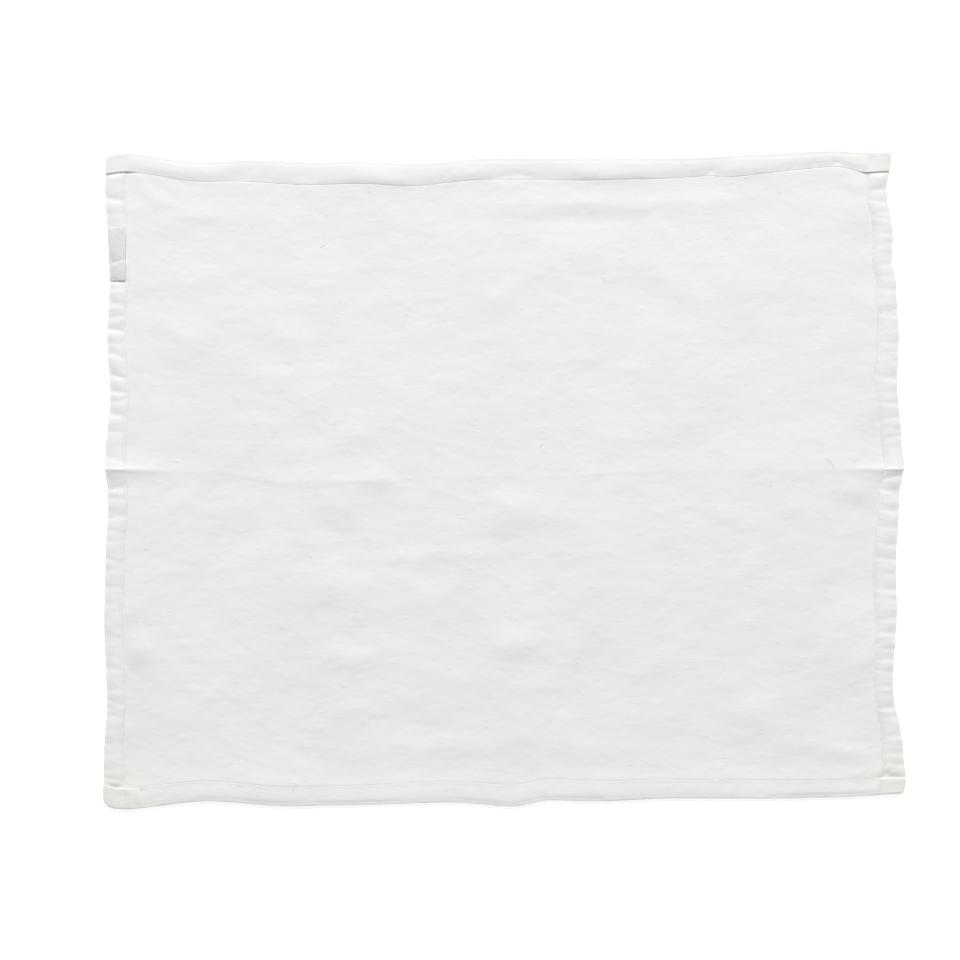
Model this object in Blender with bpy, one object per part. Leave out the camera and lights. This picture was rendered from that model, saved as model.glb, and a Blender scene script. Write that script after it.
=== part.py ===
"""Fabric placemat: washed heavy linen lying flat, double-fold hems up, a woven label on the left hem.

Seen from above, +X is the right side, +Y the far side and +Z up. The origin is the middle of the
plan box on the surface that the cloth lies on. Tables and sizes are in millimetres, and each point
is turned into metres where it is placed.
"""

import random
from collections import namedtuple
from math import cos, exp, hypot, pi, radians, sin, sqrt

import bmesh
import bpy
from mathutils import Vector

MM = 0.001

# ---- cloth thickness ----
FIELD_THICKNESS = 1.1
SIDE_HEM_LIFT = 1.5       # two more layers, puffed up by washing
END_HEM_LIFT = 1.6
CORNER_PRESS = 0.5        # share of the side hem's lift that is pressed flat under the end hem
Slope = namedtuple("Slope", "top foot")   # where a hem's inner flank starts and ends, in hem widths
SIDE_SLOPE = Slope(top=0.92, foot=1.08)
FAR_SLOPE = Slope(top=0.96, foot=1.04)
NEAR_SLOPE = Slope(top=0.60, foot=1.60)
RIM_MIDDLE = 0.45         # height of the outline, of the full thickness
RIM_FLAT = 0.5            # upright band at the middle of the folded outer edge
RIM_ROUND = 1.3           # reach of the edge's rounding, inwards from the outline

# ---- outline: a row for each place where an edge bulges out or draws in ----
Station = namedtuple("Station", "along out")
FAR_EDGE = (
    Station(along=-230, out=186.6),
    Station(along=-219, out=188.0),
    Station(along=-176, out=183.0),
    Station(along=-140, out=184.0),
    Station(along=-110, out=182.9),
    Station(along=-83, out=183.4),
    Station(along=-50, out=182.0),
    Station(along=-8, out=185.2),
    Station(along=106, out=185.2),
    Station(along=147, out=187.5),
    Station(along=190, out=189.4),
    Station(along=207, out=188.6),
    Station(along=224, out=188.9),
)
NEAR_EDGE = (
    Station(along=-231, out=187.4),
    Station(along=-222, out=189.3),
    Station(along=-170, out=184.6),
    Station(along=-125, out=187.4),
    Station(along=-92, out=186.9),
    Station(along=-30, out=185.2),
    Station(along=5, out=187.6),
    Station(along=26, out=184.0),
    Station(along=52, out=184.6),
    Station(along=97, out=182.9),
    Station(along=158, out=183.0),
    Station(along=190, out=182.3),
    Station(along=225, out=180.6),
)
LEFT_EDGE = (
    Station(along=-184, out=230.8),
    Station(along=-155, out=230.3),
    Station(along=-129, out=228.6),
    Station(along=-80, out=230.2),
    Station(along=-46, out=229.6),
    Station(along=-15, out=228.0),
    Station(along=10, out=229.7),
    Station(along=49, out=226.9),
    Station(along=81, out=228.6),
    Station(along=122, out=226.8),
    Station(along=139, out=228.0),
    Station(along=164, out=229.7),
    Station(along=186, out=229.1),
)
RIGHT_EDGE = (
    Station(along=-180, out=229.6),
    Station(along=-172, out=230.8),
    Station(along=-156, out=229.3),
    Station(along=-118, out=223.4),
    Station(along=-75, out=225.7),
    Station(along=-52, out=225.1),
    Station(along=-8, out=227.2),
    Station(along=8, out=229.8),
    Station(along=24, out=228.2),
    Station(along=57, out=225.8),
    Station(along=81, out=226.8),
    Station(along=112, out=225.3),
    Station(along=126, out=222.8),
    Station(along=139, out=223.4),
    Station(along=167, out=219.9),
    Station(along=186, out=222.3),
)
FAR_LEFT_RADIUS = 2.5
FAR_RIGHT_RADIUS = 2.0
NEAR_LEFT_RADIUS = 4.5
NEAR_RIGHT_RADIUS = 3.0

# ---- hem widths, measured in from the outline ----
Width = namedtuple("Width", "along width")
FAR_HEM = (
    Width(along=-230, width=11.0),
    Width(along=-200, width=12.1),
    Width(along=-128, width=14.2),
    Width(along=-90, width=11.8),
    Width(along=-44, width=12.2),
    Width(along=10, width=12.3),
    Width(along=83, width=10.9),
    Width(along=117, width=10.8),
    Width(along=130, width=12.6),
    Width(along=169, width=10.1),
    Width(along=192, width=9.3),
    Width(along=208, width=12.0),
    Width(along=224, width=11.5),
)
NEAR_HEM = (
    Width(along=-231, width=12.2),
    Width(along=-120, width=11.0),
    Width(along=5, width=12.4),
    Width(along=122, width=10.6),
    Width(along=228, width=9.6),
)
LEFT_HEM = (
    Width(along=-186, width=12.5),
    Width(along=-120, width=10.2),
    Width(along=-12, width=11.4),
    Width(along=6, width=12.2),
    Width(along=60, width=10.2),
    Width(along=186, width=11.6),
)
RIGHT_HEM = (
    Width(along=-180, width=13.0),
    Width(along=-118, width=10.6),
    Width(along=-62, width=13.2),
    Width(along=0, width=11.6),
    Width(along=60, width=12.4),
    Width(along=120, width=11.2),
    Width(along=186, width=11.4),
)

# ---- pressed fold lines that stayed in the cloth ----
Crease = namedtuple("Crease", "at lift_in_hems lift_in_field reach_plus reach_minus")
CENTRE_CREASE = Crease(at=6.2, lift_in_hems=2.4, lift_in_field=1.25, reach_plus=15, reach_minus=22)
SIDE_CREASES = (
    Crease(at=-120, lift_in_hems=0.45, lift_in_field=0.22, reach_plus=7, reach_minus=7),
    Crease(at=122, lift_in_hems=0.60, lift_in_field=0.28, reach_plus=7, reach_minus=7),
)
CREASE_FADE = 26          # how far past a hem its stiffer lift runs on into the field

# ---- soft wrinkles of the field: ridges rise, troughs fall ----
Wrinkle = namedtuple("Wrinkle", "x y half_length half_width turn rise")
WRINKLES = (
    Wrinkle(x=46, y=164.5, half_length=62, half_width=5.0, turn=1, rise=0.55),
    Wrinkle(x=40, y=155.5, half_length=46, half_width=3.4, turn=1, rise=-0.40),
    Wrinkle(x=118, y=158, half_length=17, half_width=7.0, turn=12, rise=0.50),
    Wrinkle(x=-106, y=161, half_length=12, half_width=5.0, turn=-30, rise=0.40),
    Wrinkle(x=-132, y=86, half_length=15, half_width=5.0, turn=-24, rise=0.45),
    Wrinkle(x=-128, y=57, half_length=18, half_width=6.0, turn=-16, rise=0.50),
    Wrinkle(x=-84, y=27, half_length=22, half_width=7.0, turn=20, rise=0.50),
    Wrinkle(x=-30, y=-43, half_length=56, half_width=4.0, turn=4, rise=0.50),
    Wrinkle(x=8, y=-17, half_length=20, half_width=8.0, turn=-10, rise=0.45),
    Wrinkle(x=4, y=-92, half_length=22, half_width=8.0, turn=10, rise=0.55),
    Wrinkle(x=-88, y=-103, half_length=16, half_width=6.0, turn=-22, rise=0.40),
    Wrinkle(x=94, y=-100, half_length=16, half_width=6.0, turn=28, rise=0.40),
    Wrinkle(x=147, y=-42, half_length=17, half_width=5.5, turn=66, rise=0.45),
    Wrinkle(x=207, y=-104, half_length=15, half_width=5.5, turn=58, rise=0.50),
    Wrinkle(x=-211, y=-94, half_length=16, half_width=5.0, turn=-58, rise=0.50),
    Wrinkle(x=-40, y=-153, half_length=34, half_width=6.0, turn=3, rise=0.50),
    Wrinkle(x=44, y=-155, half_length=20, half_width=6.0, turn=-4, rise=0.45),
    Wrinkle(x=210, y=70, half_length=27, half_width=4.0, turn=90, rise=0.50),
    Wrinkle(x=-206, y=60, half_length=24, half_width=4.5, turn=-86, rise=0.45),
    Wrinkle(x=204, y=-7, half_length=14, half_width=6.0, turn=-32, rise=0.60),
)

# ---- puckers, where the seams drew the side hems up ----
PUCKER_SEED = 41
PUCKER_PITCH = 7.6
PUCKER_JITTER = 0.42      # of the pitch
PUCKER_DEPTH = 1.0
PUCKER_WIDTH = 1.5        # at which a valley's walls have lost most of their depth
PUCKER_DRAW_IN = 0.35     # how far a pucker pulls the outline in, of its depth
PUCKER_FADE = 0.65        # of its depth, lost between the hem's outer and inner edge
PUCKER_END_MARGIN = 14    # no pucker nearer than this to the cloth's corners
DeepPucker = namedtuple("DeepPucker", "y depth")
LEFT_DEEP_PUCKERS = (
    DeepPucker(y=177, depth=0.9),
    DeepPucker(y=1, depth=1.2),
    DeepPucker(y=-121, depth=1.0),
)
RIGHT_DEEP_PUCKERS = (
    DeepPucker(y=177, depth=0.9),
    DeepPucker(y=168, depth=1.1),
    DeepPucker(y=4, depth=1.1),
    DeepPucker(y=-131, depth=1.2),
)

# ---- label: straight edges, lying on the left hem and a little down over its edge ----
LabelEdge = namedtuple("LabelEdge", "y outer_x inner_x")
LABEL_NEAR = LabelEdge(y=114.4, outer_x=-226.3, inner_x=-217.9)
LABEL_FAR = LabelEdge(y=144.9, outer_x=-227.6, inner_x=-217.5)
LABEL_CORNER_RADIUS = 4.8
LABEL_THICKNESS = 0.5
LABEL_GAP = 0.38
LABEL_REACH = 0.9         # the tape bridges dips narrower than about twice this
LABEL_COLUMNS = 7
LABEL_ROWS = 13

# ---- mesh ----
HEM_STATIONS = (0, 0.022, 0.07, 0.14, 0.28, 0.48, 0.70, 0.88, 0.968, 1.032, 1.18, 1.45)
FIELD_COLUMNS = 50
FIELD_ROWS = 165
COLUMN_COUNT = FIELD_COLUMNS + 2 * len(HEM_STATIONS) - 1
ROW_COUNT = FIELD_ROWS + 2 * len(HEM_STATIONS) - 1
PLAN_PASSES = 4
KEPT_SHARE = 0.16         # of the fine mesh's triangles, kept where the cloth is least even

LINEN_COLOUR = (0.86, 0.855, 0.84, 1)
LABEL_COLOUR = (0.74, 0.74, 0.745, 1)
LINEN_ROUGHNESS = 0.9
LABEL_ROUGHNESS = 0.7


def eased(t):
    t = min(max(t, 0.0), 1.0)
    return t * t * (3 - 2 * t)


def read_table(rows, along):
    """A table's value at a place along the edge, turning smoothly at each row."""
    if along <= rows[0].along:
        return rows[0][1]
    for low, high in zip(rows, rows[1:]):
        if along <= high.along:
            t = eased((along - low.along) / (high.along - low.along))
            return low[1] + (high[1] - low[1]) * t
    return rows[-1][1]


def pucker_row(deep, seed):
    """(y, depth) of each pucker down a side hem: the deep ones, and small uneven ones between them."""
    draw = random.Random(seed)
    found = [(row.y, row.depth) for row in deep]
    y = PUCKER_END_MARGIN - NEAR_EDGE[0].out
    while y < FAR_EDGE[0].out - PUCKER_END_MARGIN:
        depth = PUCKER_DEPTH * draw.uniform(0.4, 1.2)
        if min(abs(y - row.y) for row in deep) > PUCKER_PITCH / 2:
            found.append((y, depth))
        y += PUCKER_PITCH * (1 + PUCKER_JITTER * draw.uniform(-1, 1))
    return found


LEFT_PUCKERS = pucker_row(LEFT_DEEP_PUCKERS, PUCKER_SEED)
RIGHT_PUCKERS = pucker_row(RIGHT_DEEP_PUCKERS, PUCKER_SEED + 1)


def pucker_depth(puckers, y):
    """How deep the nearest puckers cut at y: sharp valleys with round shoulders."""
    return sum(
        depth * exp(-abs(y - at) / PUCKER_WIDTH)
        for at, depth in puckers
        if abs(y - at) < 6 * PUCKER_WIDTH
    )


def left_x(y):
    return PUCKER_DRAW_IN * pucker_depth(LEFT_PUCKERS, y) - read_table(LEFT_EDGE, y)


def right_x(y):
    return read_table(RIGHT_EDGE, y) - PUCKER_DRAW_IN * pucker_depth(RIGHT_PUCKERS, y)


def far_y(x):
    return read_table(FAR_EDGE, x)


def near_y(x):
    return -read_table(NEAR_EDGE, x)


HemPlace = namedtuple("HemPlace", "inset width slope")


def hem_places(x, y):
    """How far in from the outline a point lies, for the nearer side edge and the nearer end edge."""
    left, right = x - left_x(y), right_x(y) - x
    near, far = y - near_y(x), far_y(x) - y
    if left < right:
        side = HemPlace(left, read_table(LEFT_HEM, y), SIDE_SLOPE)
    else:
        side = HemPlace(right, read_table(RIGHT_HEM, y), SIDE_SLOPE)
    if near < far:
        end = HemPlace(near, read_table(NEAR_HEM, x), NEAR_SLOPE)
    else:
        end = HemPlace(far, read_table(FAR_HEM, x), FAR_SLOPE)
    return side, end


def hem_profile(place):
    """Height of a puffed hem across its width: 0 in the field, about 1 in the hem."""
    share = place.inset / place.width
    crown = 0.9 + 0.1 * sin(pi * min(max(share, 0.0), 1.0))
    return crown * (1 - eased((share - place.slope.top) / (place.slope.foot - place.slope.top)))


def tent(distance, crease):
    """A pressed fold's section: a sharp crest with flanks that run out flat."""
    reach = crease.reach_plus if distance > 0 else crease.reach_minus
    return max(0.0, 1 - abs(distance) / reach) ** 2


def crease_lift(crease, distance, hem):
    """Lift of a fold line that runs into a hem: it stands higher in and near the stiffer hem."""
    in_hem = 1 - eased((hem.inset - hem.width) / CREASE_FADE)
    lift = crease.lift_in_field + (crease.lift_in_hems - crease.lift_in_field) * in_hem
    return lift * tent(distance, crease)


def wrinkle_lift(x, y):
    total = 0.0
    for row in WRINKLES:
        turn = radians(row.turn)
        along = (x - row.x) * cos(turn) + (y - row.y) * sin(turn)
        across = (y - row.y) * cos(turn) - (x - row.x) * sin(turn)
        total += row.rise * exp(-((along / row.half_length) ** 2) - (across / row.half_width) ** 2)
    return total


def thickness(x, y, side, end):
    """Top to underside of the cloth away from its rounded rim."""
    in_side, in_end = hem_profile(side), hem_profile(end)
    hems = SIDE_HEM_LIFT * in_side * (1 - CORNER_PRESS * in_end) + END_HEM_LIFT * in_end
    puckers = pucker_depth(LEFT_PUCKERS if x < 0 else RIGHT_PUCKERS, y)
    puckers *= in_side * (1 - in_end) * (1 - PUCKER_FADE * eased(side.inset / side.width))
    soft = wrinkle_lift(x, y) * (1 - in_side) * (1 - in_end)
    for crease in SIDE_CREASES:
        soft += crease_lift(crease, x - crease.at, end) * (1 - in_side)
    return FIELD_THICKNESS + hems - puckers + soft


def station(index, count, low, high, hem_low, hem_high):
    """Place number index of count across the cloth: close together in both hems, even over the field."""
    hem_count = len(HEM_STATIONS)
    if index < hem_count:
        return low + HEM_STATIONS[index] * hem_low
    if index >= count - hem_count:
        return high - HEM_STATIONS[count - 1 - index] * hem_high
    first = low + HEM_STATIONS[-1] * hem_low
    last = high - HEM_STATIONS[-1] * hem_high
    return first + (last - first) * (index - hem_count + 1) / (count - 2 * hem_count + 1)


def plan_place(column, row):
    """Where a column and a row of the grid cross in plan, between the wavy outlines."""
    x = y = 0.0
    for _ in range(PLAN_PASSES):
        hem = read_table(LEFT_HEM, y), read_table(RIGHT_HEM, y)
        x = station(column, COLUMN_COUNT, left_x(y), right_x(y), *hem)
        hem = read_table(NEAR_HEM, x), read_table(FAR_HEM, x)
        y = station(row, ROW_COUNT, near_y(x), far_y(x), *hem)
    return x, y


def rounded_corner(x, y):
    """Pulls a point near a corner in, so that the outline turns the corner on an arc."""
    for radius, corner_x, corner_y in (
        (FAR_LEFT_RADIUS, left_x(y), far_y(x)),
        (FAR_RIGHT_RADIUS, right_x(y), far_y(x)),
        (NEAR_LEFT_RADIUS, left_x(y), near_y(x)),
        (NEAR_RIGHT_RADIUS, right_x(y), near_y(x)),
    ):
        turn_x = 1 if corner_x > 0 else -1
        turn_y = 1 if corner_y > 0 else -1
        centre_x, centre_y = corner_x - turn_x * radius, corner_y - turn_y * radius
        out_x, out_y = turn_x * (x - centre_x), turn_y * (y - centre_y)
        if out_x > 0 and out_y > 0:
            pull = max(out_x, out_y) / hypot(out_x, out_y)
            return centre_x + turn_x * out_x * pull, centre_y + turn_y * out_y * pull
    return x, y


def edge_rounding(inset):
    """0 on the outline, rising on a quarter circle to 1 where the rim's rounding ends."""
    share = min(max(inset / RIM_ROUND, 0.0), 1.0)
    return sqrt(1 - (1 - share) ** 2)


def cloth_point(x, y, upper):
    """The point of the cloth's upper or lower face over a place in its plan, in metres."""
    side, end = hem_places(x, y)
    full = thickness(x, y, side, end)
    rim_low, rim_high = RIM_MIDDLE * full - RIM_FLAT / 2, RIM_MIDDLE * full + RIM_FLAT / 2
    rounding = edge_rounding(min(side.inset, end.inset))
    if upper:
        z = rim_high + (full - rim_high) * rounding
    else:
        z = rim_low * (1 - rounding)
    plan_x, plan_y = rounded_corner(x, y)
    return Vector((plan_x, plan_y, z + crease_lift(CENTRE_CREASE, y - CENTRE_CREASE.at, side))) * MM


def new_object(name, bm, material):
    mesh = bpy.data.meshes.new(name)
    bm.to_mesh(mesh)
    bm.free()
    mesh.materials.append(material)
    mesh.shade_smooth()
    mesh.set_sharp_from_angle(angle=radians(40))
    piece = bpy.data.objects.new(name, mesh)
    bpy.context.scene.collection.objects.link(piece)
    return piece


def woven(name, colour, roughness):
    material = bpy.data.materials.new(name)
    material.use_nodes = True
    shader = material.node_tree.nodes["Principled BSDF"]
    shader.inputs["Base Color"].default_value = colour
    shader.inputs["Roughness"].default_value = roughness
    shader.inputs["Metallic"].default_value = 0
    return material


def closed_sheet(columns, rows, place):
    """A grid made into a closed sheet, with place(column, row, upper) giving each of its points."""
    bm = bmesh.new()
    bmesh.ops.create_grid(bm, x_segments=columns, y_segments=rows, size=1)
    bmesh.ops.solidify(bm, geom=bm.faces[:], thickness=1)
    middle = sum(vert.co.z for vert in bm.verts) / len(bm.verts)
    for vert in bm.verts:
        column = round((vert.co.x + 1) / 2 * columns)
        row = round((vert.co.y + 1) / 2 * rows)
        vert.co = place(column, row, vert.co.z > middle)
    bmesh.ops.recalc_face_normals(bm, faces=bm.faces[:])
    return bm


def build_cloth():
    plan = {}

    def place(column, row, upper):
        if (column, row) not in plan:
            plan[column, row] = plan_place(column, row)
        return cloth_point(*plan[column, row], upper)

    bm = closed_sheet(COLUMN_COUNT - 1, ROW_COUNT - 1, place)
    cloth = new_object("cloth", bm, woven("washed linen", LINEN_COLOUR, LINEN_ROUGHNESS))
    thin_out = cloth.modifiers.new("thin out even areas", "DECIMATE")
    thin_out.ratio = KEPT_SHARE
    thin_out.use_collapse_triangulate = True
    return cloth


def label_point(column, row, upper):
    """The label's straight-edged plan, its far inner corner rounded, laid over the hem's top."""
    along, across = row / LABEL_ROWS, column / LABEL_COLUMNS
    y = LABEL_NEAR.y + (LABEL_FAR.y - LABEL_NEAR.y) * along
    outer = LABEL_NEAR.outer_x + (LABEL_FAR.outer_x - LABEL_NEAR.outer_x) * along
    inner = LABEL_NEAR.inner_x + (LABEL_FAR.inner_x - LABEL_NEAR.inner_x) * along
    x = outer + (inner - outer) * across
    centre_x, centre_y = inner - LABEL_CORNER_RADIUS, LABEL_FAR.y - LABEL_CORNER_RADIUS
    out_x, out_y = x - centre_x, y - centre_y
    if out_x > 0 and out_y > 0:
        pull = max(out_x, out_y) / hypot(out_x, out_y)
        x, y = centre_x + out_x * pull, centre_y + out_y * pull
    near = ((0, 0), (LABEL_REACH, 0), (0, LABEL_REACH), (0, -LABEL_REACH))
    below = max(cloth_point(x + step_x, y + step_y, True).z for step_x, step_y in near) / MM
    return Vector((x, y, below + LABEL_GAP + (LABEL_THICKNESS if upper else 0))) * MM


def build_label():
    bm = closed_sheet(LABEL_COLUMNS, LABEL_ROWS, label_point)
    return new_object("label", bm, woven("woven tape", LABEL_COLOUR, LABEL_ROUGHNESS))


def clear_scene():
    for piece in list(bpy.data.objects):
        bpy.data.objects.remove(piece, do_unlink=True)


clear_scene()
build_cloth()
build_label()
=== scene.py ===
"""Fabric placemat: one sheet of washed linen with folded and stitched hems, its woven label and soft light.

+X is the cloth's right side, +Y its far side and +Z up. The cloth, label, stitches and fibres are worked
out in millimetres, and each point is turned into metres where it is placed.
"""

import random
from collections import namedtuple
from math import pi, radians

import bmesh
import bpy
import numpy as np
from mathutils import Matrix, Vector


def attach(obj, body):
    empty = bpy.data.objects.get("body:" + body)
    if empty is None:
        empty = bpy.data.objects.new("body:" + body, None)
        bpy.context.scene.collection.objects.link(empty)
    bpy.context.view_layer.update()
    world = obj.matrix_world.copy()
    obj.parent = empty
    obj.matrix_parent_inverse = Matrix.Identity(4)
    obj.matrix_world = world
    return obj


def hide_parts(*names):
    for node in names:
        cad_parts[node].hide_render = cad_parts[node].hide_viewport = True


bl_info = {
    "name": "Linen placemat",
    "version": (1, 0, 0),
    "blender": (4, 5, 0),
    "location": "View3D > Sidebar > Placemat",
    "description": "Builds a washed linen placemat with folded hems, stitching and a woven label",
    "category": "Add Mesh",
}

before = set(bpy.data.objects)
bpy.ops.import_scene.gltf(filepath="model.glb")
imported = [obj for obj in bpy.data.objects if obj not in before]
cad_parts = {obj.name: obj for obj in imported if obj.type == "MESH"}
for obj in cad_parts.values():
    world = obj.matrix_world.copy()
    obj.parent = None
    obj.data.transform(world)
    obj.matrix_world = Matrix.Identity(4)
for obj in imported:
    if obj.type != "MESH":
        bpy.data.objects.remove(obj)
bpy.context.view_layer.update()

MM = 0.001
TINY = 1e-9               # keeps a length that is divided by above zero


def table(kind, *rows):
    """A table's rows, each with its values under the names of the columns."""
    return tuple(kind(*row) for row in rows)


# ---- outline: a row for each place where an edge bulges out or draws in ----
Station = namedtuple("Station", "along out")
FAR_EDGE = table(
    Station,
    (-230, 186.6), (-219, 188.0), (-176, 183.0), (-140, 184.0), (-110, 182.9), (-83, 183.4),
    (-50, 182.0), (-8, 185.2), (106, 185.2), (147, 187.5), (190, 189.4), (207, 188.6), (224, 188.9),
)
NEAR_EDGE = table(
    Station,
    (-231, 187.4), (-222, 189.3), (-170, 184.6), (-125, 187.4), (-92, 186.9), (-30, 185.2), (5, 187.6),
    (26, 184.0), (52, 184.6), (97, 182.9), (158, 183.0), (190, 182.3), (225, 180.6),
)
LEFT_EDGE = table(
    Station,
    (-184, 230.8), (-155, 230.3), (-129, 228.6), (-80, 230.2), (-46, 229.6), (-15, 228.0), (10, 229.7),
    (49, 226.9), (81, 228.6), (122, 226.8), (139, 228.0), (164, 229.7), (186, 229.1),
)
RIGHT_EDGE = table(
    Station,
    (-180, 229.6), (-172, 230.8), (-156, 229.3), (-118, 223.4), (-75, 225.7), (-52, 225.1), (-8, 227.2),
    (8, 229.8), (24, 228.2), (57, 225.8), (81, 226.8), (112, 225.3), (126, 222.8), (139, 223.4),
    (167, 219.9), (186, 222.3),
)
FAR_LEFT_RADIUS = 2.5
FAR_RIGHT_RADIUS = 2.0
NEAR_LEFT_RADIUS = 4.5
NEAR_RIGHT_RADIUS = 3.0

# ---- hem widths, measured in from the outline ----
Width = namedtuple("Width", "along width")
FAR_HEM = table(
    Width,
    (-230, 11.0), (-200, 11.0), (-165, 11.6), (-128, 13.4), (-90, 13.1), (-60, 13.3), (-36, 12.3),
    (10, 12.5), (43, 13.0), (83, 12.2), (117, 10.8), (130, 12.6), (169, 10.1), (192, 9.3), (208, 12.0),
    (224, 11.5),
)
NEAR_HEM = table(
    Width,
    (-231, 12.2), (-120, 11.0), (5, 12.4), (122, 10.6), (228, 9.6),
)
LEFT_HEM = table(
    Width,
    (-186, 12.5), (-120, 10.2), (-12, 11.4), (6, 12.2), (60, 10.2), (186, 11.6),
)
RIGHT_HEM = table(
    Width,
    (-180, 13.0), (-118, 10.6), (-62, 13.2), (0, 11.6), (60, 12.4), (120, 11.2), (186, 11.4),
)

# ---- how the layers of the double-fold hems lie ----
LAYER_GAP = 1.10          # between the middles of a hem's layers, fully puffed up by washing
TOUCHING_GAP = 0.34       # the least there, where full layers of cloth touch
EDGE_GAP = 0.22           # the least by the outer fold, outside the turned-in edge
FOLD_GAP = 0.065          # at an inner fold, where the layers are pressed thin
CORNER_GAP = 0.17         # where a side hem's layers are folded into an end hem
PRESSED_THICKNESS = 0.17  # share of the cloth's thickness left at an inner fold
PRESS_INSIDE = 4.5        # how far into a hem from its inner fold the pressing reaches
PRESS_OUTSIDE = 0.3       # and out of it
CORNER_PRESS = 0.72       # how far a corner's layers are pressed
CORNER_RISE = 0.45        # a corner's stiff block stands a little off the surface
PRESS_FADE = 3.2          # how far past a hem the crossing hem's layers open up again
STEP_FADE = 8.0           # how fast an end hem comes down beside the side hem inside it
RAW_EDGE_INSET = 2.6      # the turned-in edge stops this far from the outer fold
RAW_EDGE_STEP = (1.5, 3.1)   # the top layer comes down over that edge between these insets
HEM_MARGIN = 3.0          # bottom layer past the hem's inner fold, in the hem's own columns
SEAM_INSET = 1.8          # from the inner fold to the seam
SEAM_SINK = 0.02          # how far each gap closes at the seam
SEAM_REACH = 1.1          # how far beside the seam that is felt
SEAM_DENT = 0.07          # the cloth dips at each needle hole
MIDDLE_START, MIDDLE_LENGTH = 0.10, 0.42   # shares of a hem's width over which it opens to its middle gap
HEM_START, HEM_LENGTH = 0.75, 0.50         # and over which a stiff hem turns into the soft field
# shares of the layer gap by the outer fold, in the middle and at the inner fold, the width over
# which the top layer rolls down to that fold, and how high the seam draws the cloth up there,
# running out inside and outside it
HemStyle = namedtuple("HemStyle", "outer middle inner roll rise inside outside")
SIDE_STYLE = HemStyle(outer=0.60, middle=0.82, inner=0.06, roll=4.5, rise=0.40, inside=4.0, outside=5.0)
FAR_STYLE = HemStyle(outer=0.26, middle=0.32, inner=0.06, roll=6.0, rise=0.85, inside=12.0, outside=2.8)
NEAR_STYLE = HemStyle(outer=0.36, middle=0.37, inner=0.06, roll=10.0, rise=1.25, inside=45.0, outside=8.0)

# ---- how strongly the far hem's inner fold stands over the field ----
Strength = namedtuple("Strength", "along strength")
FAR_FOLD = table(
    Strength,
    (-229, 0.30), (-218, 0.20), (-206, 0.25), (-200, 0.60), (-186, 0.65), (-172, 0.40), (-158, 0.12),
    (-150, 0.00), (-131, 0.00), (-122, 0.25), (-98, 0.60), (-84, 1.00), (-70, 1.00), (-60, 0.85),
    (-50, 0.40), (-36, 0.28), (-29, 0.65), (-15, 0.65), (-5, 0.25), (14, 0.15), (24, 0.00), (36, 0.35),
    (46, 0.95), (66, 0.95), (80, 0.85), (90, 0.40), (112, 0.22), (120, 0.00), (127, 0.20), (133, 0.60),
    (147, 0.60), (157, 0.25), (170, 0.16), (188, 0.18), (203, 0.20), (212, 0.25), (219, 0.40),
)
FAR_PUFF = 0.34           # added to the far hem's middle share at strength 1
FAR_EDGE_PUFF = 0.27      # and to its outer share
FAR_ROLL_LOSS = 1.8       # how much narrower its roll is there
FAR_ROLLS = table(Width, *((at, round(FAR_STYLE.roll - FAR_ROLL_LOSS * share, 1)) for at, share in FAR_FOLD))

# ---- how plainly the turned-in edge shows along the near hem's outline ----
NEAR_BEAD = table(
    Strength,
    (-230, 0.3), (-150, 0.4), (-146, 0.9), (-126, 1.2), (-113, 0.4), (-101, 1.2), (-66, 1.3),
    (-56, 0.5), (-31, 0.4), (-22, 1.1), (8, 1.1), (17, 0.4), (26, 1.2), (52, 1.3), (60, 0.3),
    (152, 0.2), (162, 1.3), (193, 1.1), (218, 0.5),
)
NEAR_BEAD_DROP = 0.15     # share of the gap that the step takes at strength 1
OTHER_BEAD_DROP = 0.12    # and along the other outlines

# ---- pressed fold lines that stayed in the cloth ----
# lifts in the stiff hems and in the field, and how far the flanks reach to the + and - sides
Crease = namedtuple("Crease", "in_hems in_field reach_plus reach_minus")
CENTRE_CREASE = Crease(in_hems=1.7, in_field=1.0, reach_plus=13, reach_minus=14)
CENTRE_RIDGE = Crease(in_hems=0.30, in_field=0.06, reach_plus=2.6, reach_minus=2.6)
# the centre crease wanders in Y, and its lift in the field is a share of the one above
Bend = namedtuple("Bend", "along y lift")
CENTRE_PATH = table(
    Bend,
    (-222, 6.0, 0.27),
    (-190, 5.6, 0.26),
    (-165, 4.4, 0.18),
    (-145, 2.0, 0.14),
    (-124, -1.2, 0.24),
    (-100, -0.8, 0.15),
    (-70, 0.2, 0.15),
    (-48, 1.2, 0.11),
    (0, 2.4, 0.12),
    (34, 2.6, 0.12),
    (56, 4.2, 0.20),
    (78, 5.4, 0.14),
    (112, 5.2, 0.11),
    (146, 5.9, 0.17),
    (176, 6.3, 0.17),
    (205, 6.4, 0.26),
    (222, 6.2, 0.27),
)
LEFT_CREASE_X, RIGHT_CREASE_X = -120, 122
LEFT_CREASE = Crease(in_hems=0.45, in_field=0.22, reach_plus=7, reach_minus=7)
RIGHT_CREASE = Crease(in_hems=0.60, in_field=0.28, reach_plus=7, reach_minus=7)
CREASE_FADE = 26          # how far from a hem a crease has come down to its lift in the field

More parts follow.
